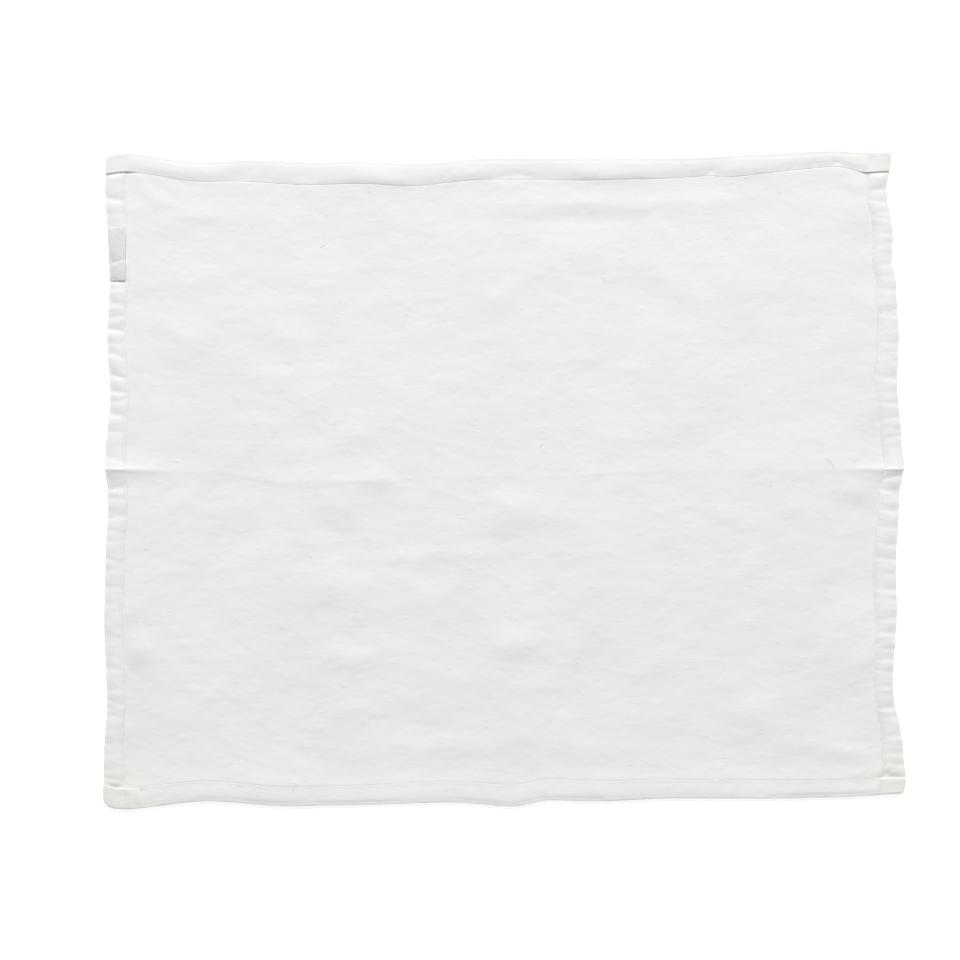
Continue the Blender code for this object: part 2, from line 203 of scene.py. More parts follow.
# ---- soft wrinkles of the field: ridges rise, troughs fall ----
Wrinkle = namedtuple("Wrinkle", "x y half_length half_width turn rise")
WRINKLES = table(
    Wrinkle,
    (50, 158.5, 48, 4.6, 0.6, 0.60),
    (46, 150.0, 38, 3.2, 1, -0.42),
    (-205, 166, 8, 2.2, -52, 0.60),
    (-197, 160, 8, 2.2, -34, 0.55),
    (-188, 167, 9, 2.4, -24, 0.45),
    (219, -166.5, 6, 1.6, 28, 0.50),
    (208, -167.5, 7, 1.8, 10, 0.45),
    (196, -157.5, 13, 2.4, -8, 0.50),
    (-212, -76, 7, 5.0, 20, 0.50),
    (-211, -100, 8, 7.0, -30, 0.60),
    (198, -8, 9, 5.0, 10, 0.45),
    (209, -3, 7, 5.0, -35, 0.45),
    (7, -96, 12, 8.0, 0, 0.75),
    (118, 158, 17, 7.0, 12, 0.50),
    (-106, 161, 12, 5.0, -30, 0.40),
    (-132, 86, 15, 5.0, -24, 0.45),
    (-128, 57, 18, 6.0, -16, 0.50),
    (-84, 27, 22, 7.0, 20, 0.50),
    (-30, -43, 56, 4.0, 4, 0.50),
    (8, -17, 20, 8.0, -10, 0.45),
    (4, -92, 22, 8.0, 10, 0.55),
    (-88, -103, 16, 6.0, -22, 0.40),
    (94, -100, 16, 6.0, 28, 0.40),
    (147, -42, 17, 5.5, 66, 0.45),
    (207, -104, 15, 5.5, 58, 0.50),
    (-211, -94, 16, 5.0, -58, 0.50),
    (-40, -153, 34, 6.0, 3, 0.50),
    (44, -155, 20, 6.0, -4, 0.45),
    (210, 70, 27, 4.0, 90, 0.50),
    (-206, 60, 24, 4.5, -86, 0.45),
    (204, -7, 14, 6.0, -32, 0.60),
    (-76, 0.5, 13, 6.0, 0, 0.50),
    (-38, -6, 9, 3.5, -20, 0.35),
    (-85, -132, 20, 4.0, 2, 0.35),
    (196, -156, 13, 3.5, -9, 0.45),
    (156, -151, 9, 5.0, 78, 0.30),
    (47, 70.5, 10, 4.0, 0, 0.30),
    (19, 70, 6, 3.0, 0, 0.25),
    (-118, 61.5, 38, 3.5, 1, 0.30),
    (55, 80, 12, 7.0, 8, 0.35),
    (114, 30, 12, 5.0, 10, 0.30),
    (207, 100, 10, 8.0, -30, 0.50),
    (206, 112, 9, 2.4, -40, -0.35),
    (10, -77, 10, 5.0, -6, 0.35),
    (7, -147, 9, 9.0, 0, 0.45),
    (107, 162, 14, 5.0, 3, 0.40),
    (-172, 151.5, 16, 2.6, 2, 0.42),
    (-207, 114, 9, 1.8, -11, 0.40),
    (-214, 160.5, 5, 1.6, -12, -0.40),
    (202, 169, 3.0, 3.0, 0, 0.35),
    (207.6, 173, 4, 1.4, -72, -0.60),
    (-215, 20, 3, 2.2, 80, -0.30),
    (-213, -69, 6.5, 9.0, -12, 0.50),
    (-210, -96, 7.0, 13.0, -16, 0.60),
    (-209, -162, 6, 4.0, -60, 0.50),
)
WRINKLE_STRENGTH = 1.2    # factor on the placed wrinkles' rise
HEM_ROUGHNESS = 0.55      # share of the wrinkles that the stiffer hems take
SCATTER_X, SCATTER_Y = 225, 180   # scattered wrinkles lie this far from the middle at most
Scatter = namedtuple("Scatter", "seed count lengths widths turn rise")
SWELL = Scatter(seed=19, count=150, lengths=(8.0, 19.0), widths=(7.0, 15.0), turn=85.0, rise=0.85)
FINE = Scatter(seed=7, count=560, lengths=(3.5, 11.0), widths=(2.6, 5.5), turn=16.0, rise=0.18)
GROUND_REST = 0.60        # how far the wrinkled field lies off the surface on average
GROUND_SOFTNESS = 0.35    # how gently a trough settles on the surface

# ---- dents and knuckles of the hems, where stiff layers buckle ----
HEM_DENTS = table(
    Wrinkle,
    (-152, 178, 4.5, 4.5, 90, -0.55),
    (-143.5, 180.5, 2.0, 1.4, 60, -0.50),
    (120.5, 177.5, 6.0, 3.6, 88, -0.65),
    (7, 174, 10, 3.0, 0, -0.40),
    (-112, 174.5, 16, 2.6, 0, -0.30),
    (168, 182, 3.5, 1.2, 88, -0.30),
    (178.5, 182.5, 3.0, 1.2, 95, -0.35),
    (190, 182.5, 5.0, 2.0, -25, -0.35),
    (-212.5, 182, 4.0, 1.3, 92, -0.35),
    (210, 182, 4.5, 1.2, 90, -0.40),
    (-191, -179.5, 4.0, 1.6, 84, -0.50),
    (-169, -180.5, 4.5, 2.6, 72, -0.60),
    (-153, -180, 4.0, 3.0, 60, -0.45),
    (-121.6, -183.5, 4.0, 1.8, 80, -0.60),
    (-103.8, -182, 2.4, 1.2, 90, -0.35),
    (-26, -181.5, 4.5, 1.9, 78, -0.55),
    (1.5, -180.5, 4.0, 3.2, 0, -0.50),
    (15.8, -182.5, 3.5, 1.6, 52, -0.60),
    (23.5, -181.5, 4.5, 1.8, 32, -0.60),
    (74, -177, 3.0, 1.8, 60, -0.35),
    (95, -179, 2.2, 1.4, 20, -0.35),
    (159, -180.5, 4.5, 2.2, 58, -0.65),
    (-225, -178, 3.5, 1.4, 22, -0.45),
    (-222, -184, 4.0, 1.6, -50, -0.35),
    (-205.5, -182.5, 5.0, 1.8, -62, -0.60),
    (214, -170.3, 6.0, 1.4, 9, -0.60),
    (220.5, -167.5, 3.4, 1.2, 46, -0.60),
    (216.3, -174.5, 3.4, 1.0, 84, -0.35),
)
HEM_KNUCKLES = table(
    Wrinkle,
    (-217.5, -178.6, 7.0, 1.9, -9, 0.45),
    (-210, -182.5, 4.0, 2.0, -62, 0.40),
    (-204, 44, 3.0, 2.0, 0, 0.20),
    (222, -173.5, 5.0, 2.2, 12, 0.30),
)

# ---- puckers, where the seams drew the side hems up ----
# each is a valley across the hem: long towards +Y, steep towards -Y, and it leans that far in Y
# on its way from the outer fold to the inner one
Pucker = namedtuple("Pucker", "y depth reach lean")
LEFT_PUCKERS = table(
    Pucker,
    (161.6, 1.26, 2.6, -1.2), (152.5, 0.44, 2, 0.6), (145.6, 0.5, 2, -2.2), (124.5, 1.13, 3, 2.4),
    (114.2, 2.14, 4, -0.5), (109.6, 0.76, 2.4, 1.2), (101.6, 1.13, 3, -1.8), (92.8, 1.13, 3, 1.6),
    (86.6, 1.64, 4.4, -1.2), (78.5, 0.44, 2, 0.6), (73.2, 1.13, 3, -3.4), (60.2, 1.76, 3.4, -2.2),
    (50.8, 1.51, 3, -1), (44.2, 1.01, 2.6, 2.4), (37.8, 1.26, 3, -1.5), (27.6, 0.63, 2.4, -0.5),
    (13.6, 0.62, 2.6, -4), (-5.6, 1.64, 6.5, 1.2), (-10.4, 0.7, 2.2, -1), (-18.6, 0.62, 2.6, -1.8),
    (-22.2, 0.62, 2, 1.6), (-29, 0.47, 2.6, -1.2), (-35.4, 0.51, 2.6, 0.6), (-45.2, 0.55, 2.6, -2.2),
    (-52.2, 0.55, 2.4, 2.4), (-61.8, 0.58, 3, -0.5), (-70.5, 0.35, 2.4, -1.5), (-80, 0.2, 2.2, 1.2),
    (-89, 0.31, 2, -1.8), (-92.6, 0.31, 2, 1.6), (-101, 0.23, 2, -1.2), (-108.4, 0.74, 2.8, -0.6),
    (-121.2, 0.51, 2.6, 0.6), (-126.6, 0.51, 2.4, -2.2), (-131.4, 0.47, 2.2, 2.4),
    (-135.6, 0.62, 2.6, -0.8), (-144.2, 0.35, 2.8, 0.8), (-151.8, 0.39, 2.8, -0.5),
    (-158.5, 0.31, 2.2, 0.8), (-167, 0.35, 2.4, 1.2), (-171.6, 0.78, 2.8, -1.6),
)
RIGHT_PUCKERS = table(
    Pucker,
    (167.4, 1.25, 3, -1.8), (159.2, 0.78, 2.6, 1.6), (154, 0.31, 2, -1.2), (149.5, 0.35, 2, 1.5),
    (141.4, 0.35, 2.4, 0.6), (136.2, 0.55, 2.6, -2.2), (129, 0.27, 2, 2.4), (124, 0.51, 2.4, -0.6),
    (117, 0.27, 2.2, -0.5), (108.8, 0.62, 2.6, 1.2), (97.8, 0.62, 3, -1.8), (94.2, 0.43, 1.8, 1.6),
    (86.2, 0.23, 2, -1.2), (78, 0.51, 2.6, 0.6), (74.2, 0.51, 2.2, -2.2), (68.4, 0.27, 2, 2.4),
    (58.2, 0.78, 3, 0.6), (50.5, 0.27, 2.2, -0.5), (43.4, 0.55, 2.6, 1.2), (36.2, 0.7, 2.8, -1.8),
    (28.6, 0.47, 2.4, 1.6), (25.2, 0.43, 2.2, -1.2), (19, 0.27, 2, 0.6), (2.6, 1.48, 3.4, -2.2),
    (-7.8, 1.09, 3.4, 2.4), (-10.6, 0.39, 1.6, -0.5), (-18.2, 1.09, 3.2, 1.2), (-27.4, 0.62, 2.6, 0.8),
    (-37.8, 0.78, 3, 1.6), (-46, 0.74, 3.2, 1.8), (-54, 0.43, 2.4, -1.8), (-63.4, 0.74, 3, 0.6),
    (-69, 0.35, 2.2, 1.6), (-79.4, 0.39, 2.6, -1.2), (-88.2, 1.17, 3.6, 0.6), (-91.2, 0.62, 1.8, -2.2),
    (-97.6, 0.51, 2.4, 2.4), (-103, 0.94, 3, -0.5), (-110.6, 0.51, 2.6, 1.2), (-118.2, 0.51, 2.6, -1.8),
    (-124, 0.23, 2.2, 1.6), (-131, 1.33, 3.4, -0.4), (-136.4, 0.62, 2.4, 0.5), (-146.8, 0.86, 3, -1.2),
    (-152.4, 0.31, 2.2, 0.6), (-157.2, 0.66, 2.6, 0.4), (-163.6, 0.74, 2.8, 0.3),
)
PUCKER_STEEP_REACH = 1.15   # of its steep side
PUCKER_ROUNDING = 0.40    # of its bottom
PUCKER_NARROWING = 0.30   # share of its reach lost at the inner fold
PUCKER_FADE = 0.75        # share of its depth lost at the inner fold
PUCKER_DRAW_IN = 0.30     # share of its depth by which the outline draws in
PUCKER_SPREAD = 5.0       # how far a pucker runs on into the field
PUCKER_FIELD_SHARE = 0.50   # share of its depth there
PUCKER_IN_GAPS = 1.0      # the depth that the layers' gaps can take up

# ---- the cloth's grid ----
# where a hem's lines lie along its folded path: a row each for the turned-in layer, the inner fold,
# the top layer, the outer fold, the bottom layer and the margin past the inner fold
HEM_TRAVEL = (
    0, 0.5, 1,
    1.25, 1.5, 1.66, 1.82, 2,
    2.06, 2.12, 2.20, 2.32, 2.48, 2.64, 2.75, 2.81, 2.87, 2.93, 3,
    3.18, 3.36, 3.52, 3.68, 3.84, 4,
    4.5, 5,
    5.02, 5.07, 5.12, 5.18, 5.3, 5.6, 6,
)
FIRST_FINE_STATION, LAST_FINE_STATION = 5, 23   # the layers that show are cut finer along the hem
HEM_CELLS = len(HEM_TRAVEL) - 1
FIELD_HALF_WIDTH = 213.0                # between the hems' margins, on the cut sheet
FIELD_NEAR, FIELD_FAR = -170.5, 169.5
FIELD_COLUMNS = 108
ROWS_BELOW_CREASE = 56
ROWS_ABOVE_CREASE = 52
CREASE_ROWS = (-2.6, -1.2, 0.0, 1.2, 2.6)   # rows of the grid that follow the centre crease, off it in Y
FIRST_CREASE_CELL = ROWS_BELOW_CREASE
LAST_CREASE_CELL = ROWS_BELOW_CREASE + len(CREASE_ROWS) - 1
FIELD_ROWS = LAST_CREASE_CELL + ROWS_ABOVE_CREASE
FINE_CUTS = 2             # across each edge there
HALF_CELL = 0.5
PLAN_PASSES = 5           # how often the plan and the gaps, which need each other, are worked out
CUT_HEM_WIDTH = 11.5      # usual hem width, from which the cut sheet's turnings are laid out

# ---- label: straight edges, lying on the left hem ----
LabelEdge = namedtuple("LabelEdge", "y outer_x inner_x")
LABEL_NEAR = LabelEdge(y=114.4, outer_x=-226.9, inner_x=-217.9)
LABEL_FAR = LabelEdge(y=144.9, outer_x=-227.9, inner_x=-217.5)
LABEL_CORNER_RADIUS = 4.8
LABEL_GAP = 0.06
LABEL_REACH = 0.9         # it clears the highest cloth within this reach
LABEL_COLUMNS, LABEL_ROWS = 22, 66

# ---- stitches and loose fibres ----
THREAD_SIDES = 6
THREAD_TAPER, TAPER_POWER = 0.55, 3   # share of its thickness that a thread loses at its ends
STITCH_RINGS = 5
STITCH_DIVE, DIVE_POWER = 0.24, 2.5   # a stitch's ends go down towards its needle holes
STITCH_SINK = 0.12        # how deep the thread beds into the cloth
SEAM_START, SEAM_END = -217.0, 213.0   # the end hems' seams run in X between the side seams
Fibre = namedtuple("Fibre", "x y turn length bow")
LOOSE_FIBRES = table(
    Fibre,
    (187.0, 9.2, -48, 8.6, 0.9),
    (-104.5, 134.0, 20, 3.4, 0.5),
    (57.0, 115.0, -65, 2.8, 0.4),
    (21.5, 19.6, 35, 2.6, 0.4),
    (-219.5, 143.5, -70, 4.0, 0.8),
)
FIBRE_WIDTH = 0.14
FIBRE_RINGS = 12

# ---- camera straight above, in metres ----
CAMERA_HEIGHT = 2.2
CAMERA_X = -0.0141
PICTURE_WIDTH = 0.552     # of what the camera sees on the floor
SENSOR_WIDTH = 36         # in millimetres
FARTHEST_SEEN = 100

# ---- studio, in metres and watts: a floor, an even sky and a softbox beyond the far edge ----
FLOOR_HALF_WIDTH = 3.0
FLOOR_DROP = 0.0003       # the floor lies just under the cloth
FLOOR_GLOW = 0.45
SKY_STRENGTH = 0.421
SOFTBOX_SIZE = (2.5, 1.6)
SOFTBOX_PLACE = (0, 2.96, 2.96)
SOFTBOX_POWER = 161

# ---- the warm tint in the hems and corners, 0 to 1: partly the layered cloth's own tone, partly painted warm shade between the layers ----
SHADE_WARMTH_ATTRIBUTE = "layer_shade_warmth"
FAR_SHADE_WARMTH, NEAR_SHADE_WARMTH = 0.30, 0.50
FAR_LEFT_SHADE_WARMTH, FAR_RIGHT_SHADE_WARMTH = 0.45, 0.60
NEAR_LEFT_SHADE_WARMTH, NEAR_RIGHT_SHADE_WARMTH = 1.0, 0.80
SHADE_WARMTH_FADE = 22.0        # how far past a hem's inner fold the warm tint fades out

# ---- finishes: noise in cells a metre, with its relief in millimetres and its share in the tone ----
Pattern = namedtuple("Pattern", "across along detail relief tone", defaults=(0.0, 0.0))
WEAVE_MAP = "weave"
WAVE_BAND = pi / 10       # the length of one band of an unscaled wave texture
YARN_WANDER = Pattern(160, 160, 2.0)
YARN_WANDER_REACH = 0.0007   # in metres
YARN_GRAIN = Pattern(900, 900, 3.0)
YARN_GRAIN_SHARE = 0.6
WOVEN_RELIEF = 0.020
WEFT_SLUB = Pattern(105, 300, 2.0, relief=0.07, tone=0.012)
WARP_SLUB = Pattern(620, 130, 1.0, relief=0.02)
NUB = Pattern(260, 420, 0.0, relief=0.05, tone=-0.03)
CRINKLE = Pattern(90, 140, 2.0, relief=0.28, tone=0.02)
CRINKLE_ROUGHNESS = 0.55
SOFT_FOLD = Pattern(50, 66, 2.0, relief=0.72)
PATCH = Pattern(18, 28, 3.0, tone=0.087)
WEFT_SLUB_STEP = (0.63, 0.78)   # the noise turns into a slub between these values
WARP_SLUB_STEP = (0.68, 0.80)
NUB_STEP = (0.76, 0.84)
LINEN_TONE = 0.949
LINEN_SHEEN, LINEN_SHEEN_ROUGHNESS = 0.08, 0.6
LABEL_RIB_PITCH, LABEL_RIB_RELIEF, LABEL_RIB_TONE = 0.00042, 0.05, 0.02
LABEL_CORD_PITCH, LABEL_CORD_RELIEF = 0.00030, 0.03
LABEL_CRUMPLE = Pattern(260, 260, 3.0, relief=0.35, tone=0.05)
LABEL_TONE = 0.96
THREAD_TWIST_SCALE, THREAD_TWIST_RELIEF, THREAD_TWIST_WAVER = 900, 0.06, 2.0
THREAD_FUZZ = Pattern(4000, 4000, 2.0, relief=0.05, tone=0.08)
THREAD_TONE = 0.94
FIBRE_STREAK = Pattern(2500, 2500, 2.0, tone=0.2)
FIBRE_TONE, FIBRE_BLUE_TONE = 0.9, 0.88


# ------------------------------------------------------------------ shape of the folded cloth


def eased(t):
    """0 below 0, 1 above 1, and a smooth step between."""
    t = np.clip(t, 0.0, 1.0)
    return t * t * (3 - 2 * t)


def read(rows, column, along):
    """A table's column at places along an edge, turning smoothly at each row."""
    at = np.array([row.along for row in rows], float)
    value = np.array([getattr(row, column) for row in rows], float)
    along = np.clip(along, at[0], at[-1])
    low = np.clip(np.searchsorted(at, along, side="right") - 1, 0, len(at) - 2)
    share = eased((along - at[low]) / (at[low + 1] - at[low]))
    return value[low] + (value[low + 1] - value[low]) * share


def pucker_depth(puckers, y, share=0.0):
    """How deep the puckers cut at y, share of the way from the outer fold to the inner one."""
    total = np.zeros_like(y)
    across = np.clip(share, 0.0, 1.0)
    narrowing = 1 - PUCKER_NARROWING * across
    for row in puckers:
        off = (y - row.y - row.lean * across) / narrowing
        reach = np.where(off > 0, row.reach, PUCKER_STEEP_REACH)
        rounded = np.hypot(off, PUCKER_ROUNDING) - PUCKER_ROUNDING
        total += row.depth * np.exp(-rounded / reach)
    return total * (1 - PUCKER_FADE * across)


def puckers_at(x, y, share=0.0):
    return np.where(x < 0, pucker_depth(LEFT_PUCKERS, y, share), pucker_depth(RIGHT_PUCKERS, y, share))


def left_x(y):
    return PUCKER_DRAW_IN * pucker_depth(LEFT_PUCKERS, y) - read(LEFT_EDGE, "out", y)


def right_x(y):
    return read(RIGHT_EDGE, "out", y) - PUCKER_DRAW_IN * pucker_depth(RIGHT_PUCKERS, y)


def far_y(x):
    return read(FAR_EDGE, "out", x)


def near_y(x):
    return -read(NEAR_EDGE, "out", x)


def hem_widths(x, y):
    """Widths of the left and right hems at y, and of the near and far ones at x."""
    sides = read(LEFT_HEM, "width", y), read(RIGHT_HEM, "width", y)
    return *sides, read(NEAR_HEM, "width", x), read(FAR_HEM, "width", x)


Place = namedtuple("Place", "inset width share beside")


def place_in_hem(first, second, first_width, second_width, fade):
    """Where points lie in the nearer of two hems, from their distances to both outlines.

    beside is 1 inside the hem's inner fold and fades to 0 past it.
    """
    inset = np.minimum(first, second)
    width = np.where(first < second, first_width, second_width)
    return Place(inset, width, inset / width, 1 - eased((inset - width) / fade))


def hem_places(x, y, fade=PRESS_FADE):
    """Where points lie in the nearer side hem and in the nearer end hem."""
    left, right, near, far = hem_widths(x, y)
    side = place_in_hem(x - left_x(y), right_x(y) - x, left, right, fade)
    end = place_in_hem(y - near_y(x), far_y(x) - y, near, far, fade)
    return side, end


def off_seam(place):
    """Distance from a hem's seam, in reaches of the seam."""
    return (place.inset - place.width + SEAM_INSET) / SEAM_REACH


def past_raw_edge(place):
    """0 outside the turned-in edge and 1 where the layers lie over it."""
    first, last = RAW_EDGE_STEP
    return eased((place.inset - first) / (last - first))


def own_gap(place, outer, middle, inner, roll, drop):
    """Gap between a hem's layers before another hem presses it, from the style's shares of the full gap.

    The top layer rolls down to the inner fold, ever steeper, and closes up at the seam. drop is the
    share lost where it leaves the turned-in edge.
    """
    share = outer + (middle - outer) * eased((place.share - MIDDLE_START) / MIDDLE_LENGTH)
    rolled = np.clip(1 - (place.width - place.inset) / roll, 0, 1)
    share = inner + (share - inner) * (1 - rolled**2)
    share = share - drop * (1 - past_raw_edge(place))
    seam = off_seam(place)
    return LAYER_GAP * share - SEAM_SINK * np.exp(-seam * seam)


def pressed(side, end):
    """How far layers are pressed: 1 along an inner fold, less in the corners and 0 elsewhere."""
    def near_fold(place):
        past = place.inset - place.width
        reach = np.where(past > 0, PRESS_OUTSIDE, PRESS_INSIDE)
        return np.exp(-((past / reach) ** 2))

    folds = np.maximum(near_fold(side) * (1 - end.beside), near_fold(end) * (1 - side.beside))
    return np.maximum(folds, CORNER_PRESS * side.beside * end.beside)


def least_gap(place, press):
    """The least gap a hem's layers can have: that of touching cloth."""
    least = EDGE_GAP + (TOUCHING_GAP - EDGE_GAP) * past_raw_edge(place)
    return least + (FOLD_GAP - least) * press


def side_gap(x, y):
    """Gap between the layers of the nearer side hem."""
    side, end = hem_places(x, y)
    style = SIDE_STYLE
    own = own_gap(side, style.outer, style.middle, style.inner, style.roll, OTHER_BEAD_DROP)
    pucker = np.minimum(puckers_at(x, y, side.share), PUCKER_IN_GAPS)
    least = least_gap(side, pressed(side, end))
    free = np.maximum(own + (wrinkle_lift(HEM_DENTS, x, y) - pucker) / 2, least)
    return free + (CORNER_GAP - free) * end.beside


def end_gap(x, y):
    """Gap between the layers of the nearer end hem."""
    side, end = hem_places(x, y)
    strength = read(FAR_FOLD, "strength", x)
    far, near = FAR_STYLE, NEAR_STYLE
    pairs = (
        (far.outer + FAR_EDGE_PUFF * strength, near.outer),
        (far.middle + FAR_PUFF * strength, near.middle),
        (far.inner, near.inner),
        (read(FAR_ROLLS, "width", x), near.roll),
        (OTHER_BEAD_DROP, NEAR_BEAD_DROP * read(NEAR_BEAD, "strength", x)),
    )
    own = own_gap(end, *(np.where(y > 0, far_value, near_value) for far_value, near_value in pairs))
    free = np.maximum(own + wrinkle_lift(HEM_DENTS, x, y) / 2, least_gap(end, pressed(side, end)))
    return free + (CORNER_GAP - free) * side.beside


def crease_pins(x):
    """The grid's rows that follow the centre crease, with their places in Y for each x."""
    y = read(CENTRE_PATH, "y", x)
    return [(FIRST_CREASE_CELL + index, y + offset) for index, offset in enumerate(CREASE_ROWS)]


def crease_lift(crease, distance, hem, share=1.0):
    """Lift of a fold line that runs into a hem: it stands higher in and near the stiffer hem.

    Its section is a sharp crest with flanks that run out flat. share is on its lift in the field.
    """
    in_hem = 1 - eased((hem.inset - hem.width) / CREASE_FADE)
    in_field = crease.in_field * share
    lift = in_field + (crease.in_hems - in_field) * in_hem
    reach = np.where(distance > 0, crease.reach_plus, crease.reach_minus)
    return lift * np.maximum(0.0, 1 - np.abs(distance) / reach) ** 2


def scattered_wrinkles(kind):
    """Seeded wrinkles all over the cloth, turned from +X by about kind.turn degrees either way."""
    draw = random.Random(kind.seed)
    return [
        Wrinkle(
            x=draw.uniform(-SCATTER_X, SCATTER_X),
            y=draw.uniform(-SCATTER_Y, SCATTER_Y),
            half_length=draw.uniform(*kind.lengths),
            half_width=draw.uniform(*kind.widths),
            turn=draw.gauss(0, kind.turn),
            rise=kind.rise * draw.uniform(-1, 1),
        )
        for _ in range(kind.count)
    ]


def wrinkle_lift(rows, x, y):
    total = np.zeros_like(x)
    for row in rows:
        turn = radians(row.turn)
        along = (x - row.x) * np.cos(turn) + (y - row.y) * np.sin(turn)
        across = (y - row.y) * np.cos(turn) - (x - row.x) * np.sin(turn)
        total += row.rise * np.exp(-((along / row.half_length) ** 2) - (across / row.half_width) ** 2)
    return total


ALL_WRINKLES = [row._replace(rise=row.rise * WRINKLE_STRENGTH) for row in WRINKLES]
ALL_WRINKLES += scattered_wrinkles(SWELL) + scattered_wrinkles(FINE)


def rise_beside(place, style):
    """The cloth's rise along a hem's inner fold, where the seam draws it up."""
    past = place.inset - place.width
    return style.rise * np.exp(-np.abs(past) / np.where(past < 0, style.inside, style.outside))


def ground(x, y, hole=0.0):
    """How far the cloth's lowest layer is lifted off the surface at a place in its plan.

    hole is 1 in the rows of the side seams' needle holes and less between them.
    """
    side, end = hem_places(x, y)
    in_side = 1 - eased((side.share - HEM_START) / HEM_LENGTH)
    in_end = 1 - eased((end.share - HEM_START) / HEM_LENGTH)
    free = (1 - in_side) * (1 - in_end)
    rough = wrinkle_lift(ALL_WRINKLES, x, y) + GROUND_REST
    rough = (rough + np.hypot(rough, GROUND_SOFTNESS)) / 2
    soft = rough * (HEM_ROUGHNESS + (1 - HEM_ROUGHNESS) * free)
    soft += wrinkle_lift(HEM_KNUCKLES, x, y)
    soft += crease_lift(LEFT_CREASE, x - LEFT_CREASE_X, end) * (1 - in_side)
    soft += crease_lift(RIGHT_CREASE, x - RIGHT_CREASE_X, end) * (1 - in_side)
    soft += rise_beside(side, SIDE_STYLE) * (1 - end.beside)
    far_rise = rise_beside(end, FAR_STYLE) * read(FAR_FOLD, "strength", x)
    soft += np.where(y > 0, far_rise, rise_beside(end, NEAR_STYLE)) * (1 - side.beside)
    beyond = np.maximum(side.inset - side.width, 0) / PUCKER_SPREAD
    soft -= PUCKER_FIELD_SHARE * puckers_at(x, y, 1.0) * (1 - in_side) * np.exp(-beyond) * (1 - end.beside)
    too_deep = np.maximum(puckers_at(x, y, side.share) - PUCKER_IN_GAPS, 0)
    seam = off_seam(side)
    soft -= (too_deep + SEAM_DENT * hole * np.exp(-seam * seam)) * in_side * (1 - end.beside)
    corner = side.beside * end.beside
    soft += (CORNER_RISE + wrinkle_lift(HEM_DENTS, x, y)) * corner
    across = y - read(CENTRE_PATH, "y", x)
    centre = crease_lift(CENTRE_CREASE, across, side, read(CENTRE_PATH, "lift", x))
    soft += centre + crease_lift(CENTRE_RIDGE, across, side)
    return np.maximum(soft, 0.0)


def hem_path(travel, width, gap, stack, height, cloth):
    """Inset and height of points on a double fold, as arrays, from their travel along the cloth.

    travel runs 0 to 1 along the turned-in layer from its raw edge, 1 to 2 round the inner fold, 2 to 3
    back along the top layer, 3 to 4 round the outer fold, 4 to 5 in along the bottom layer as far as
    the inner fold, and 5 to 6 over the margin past it. stack is the height of what is folded along,
    such as a side hem, and height a point's place in it.
    """
    pitch = stack + gap
    off = height - stack / 2
    outer_centre = pitch + stack / 2 + cloth / 2
    inner_centre = width - (pitch + stack + cloth) / 2
    inner_angle = pi * (2 - travel)
    outer_angle = pi * (4 - travel)
    legs = [travel < 1, travel < 2, travel < 3, travel < 4]
    inset = np.select(
        [*legs, travel < 5],
        [
            RAW_EDGE_INSET + (inner_centre - RAW_EDGE_INSET) * travel,
            inner_centre + (pitch / 2 - off) * np.sin(inner_angle),
            inner_centre + (outer_centre - inner_centre) * (travel - 2),
            outer_centre - (pitch - off) * np.sin(outer_angle),
            outer_centre + (width - outer_centre) * (travel - 4),
        ],
        width + HEM_MARGIN * (travel - 5),
    )
    level = np.select(
        legs,
        [
            pitch + height,
            1.5 * pitch + stack / 2 + (pitch / 2 - off) * np.cos(inner_angle),
            2 * pitch + stack - height,
            pitch + stack / 2 - (pitch - off) * np.cos(outer_angle),
        ],
        height,
    )
    return inset, level


def round_off(x, y, corner_x, corner_y, radius, turn_x, turn_y):
    """Pulls points near a corner in, so that the outline turns it on an arc.

    turn_x and turn_y are 1 or -1, the way that the corner points.
    """
    centre_x, centre_y = corner_x - turn_x * radius, corner_y - turn_y * radius
    out_x, out_y = turn_x * (x - centre_x), turn_y * (y - centre_y)
    near = (out_x > 0) & (out_y > 0)
    pull = np.maximum(out_x, out_y) / np.maximum(np.hypot(out_x, out_y), TINY)
    x = np.where(near, centre_x + turn_x * out_x * pull, x)
    y = np.where(near, centre_y + turn_y * out_y * pull, y)
    return x, y


def rounded_corners(x, y):
    corners = (
        (FAR_LEFT_RADIUS, left_x(y), far_y(x), -1, 1),
        (FAR_RIGHT_RADIUS, right_x(y), far_y(x), 1, 1),
        (NEAR_LEFT_RADIUS, left_x(y), near_y(x), -1, -1),
        (NEAR_RIGHT_RADIUS, right_x(y), near_y(x), 1, -1),
    )
    for radius, corner_x, corner_y, turn_x, turn_y in corners:
        x, y = round_off(x, y, corner_x, corner_y, radius, turn_x, turn_y)
    return x, y


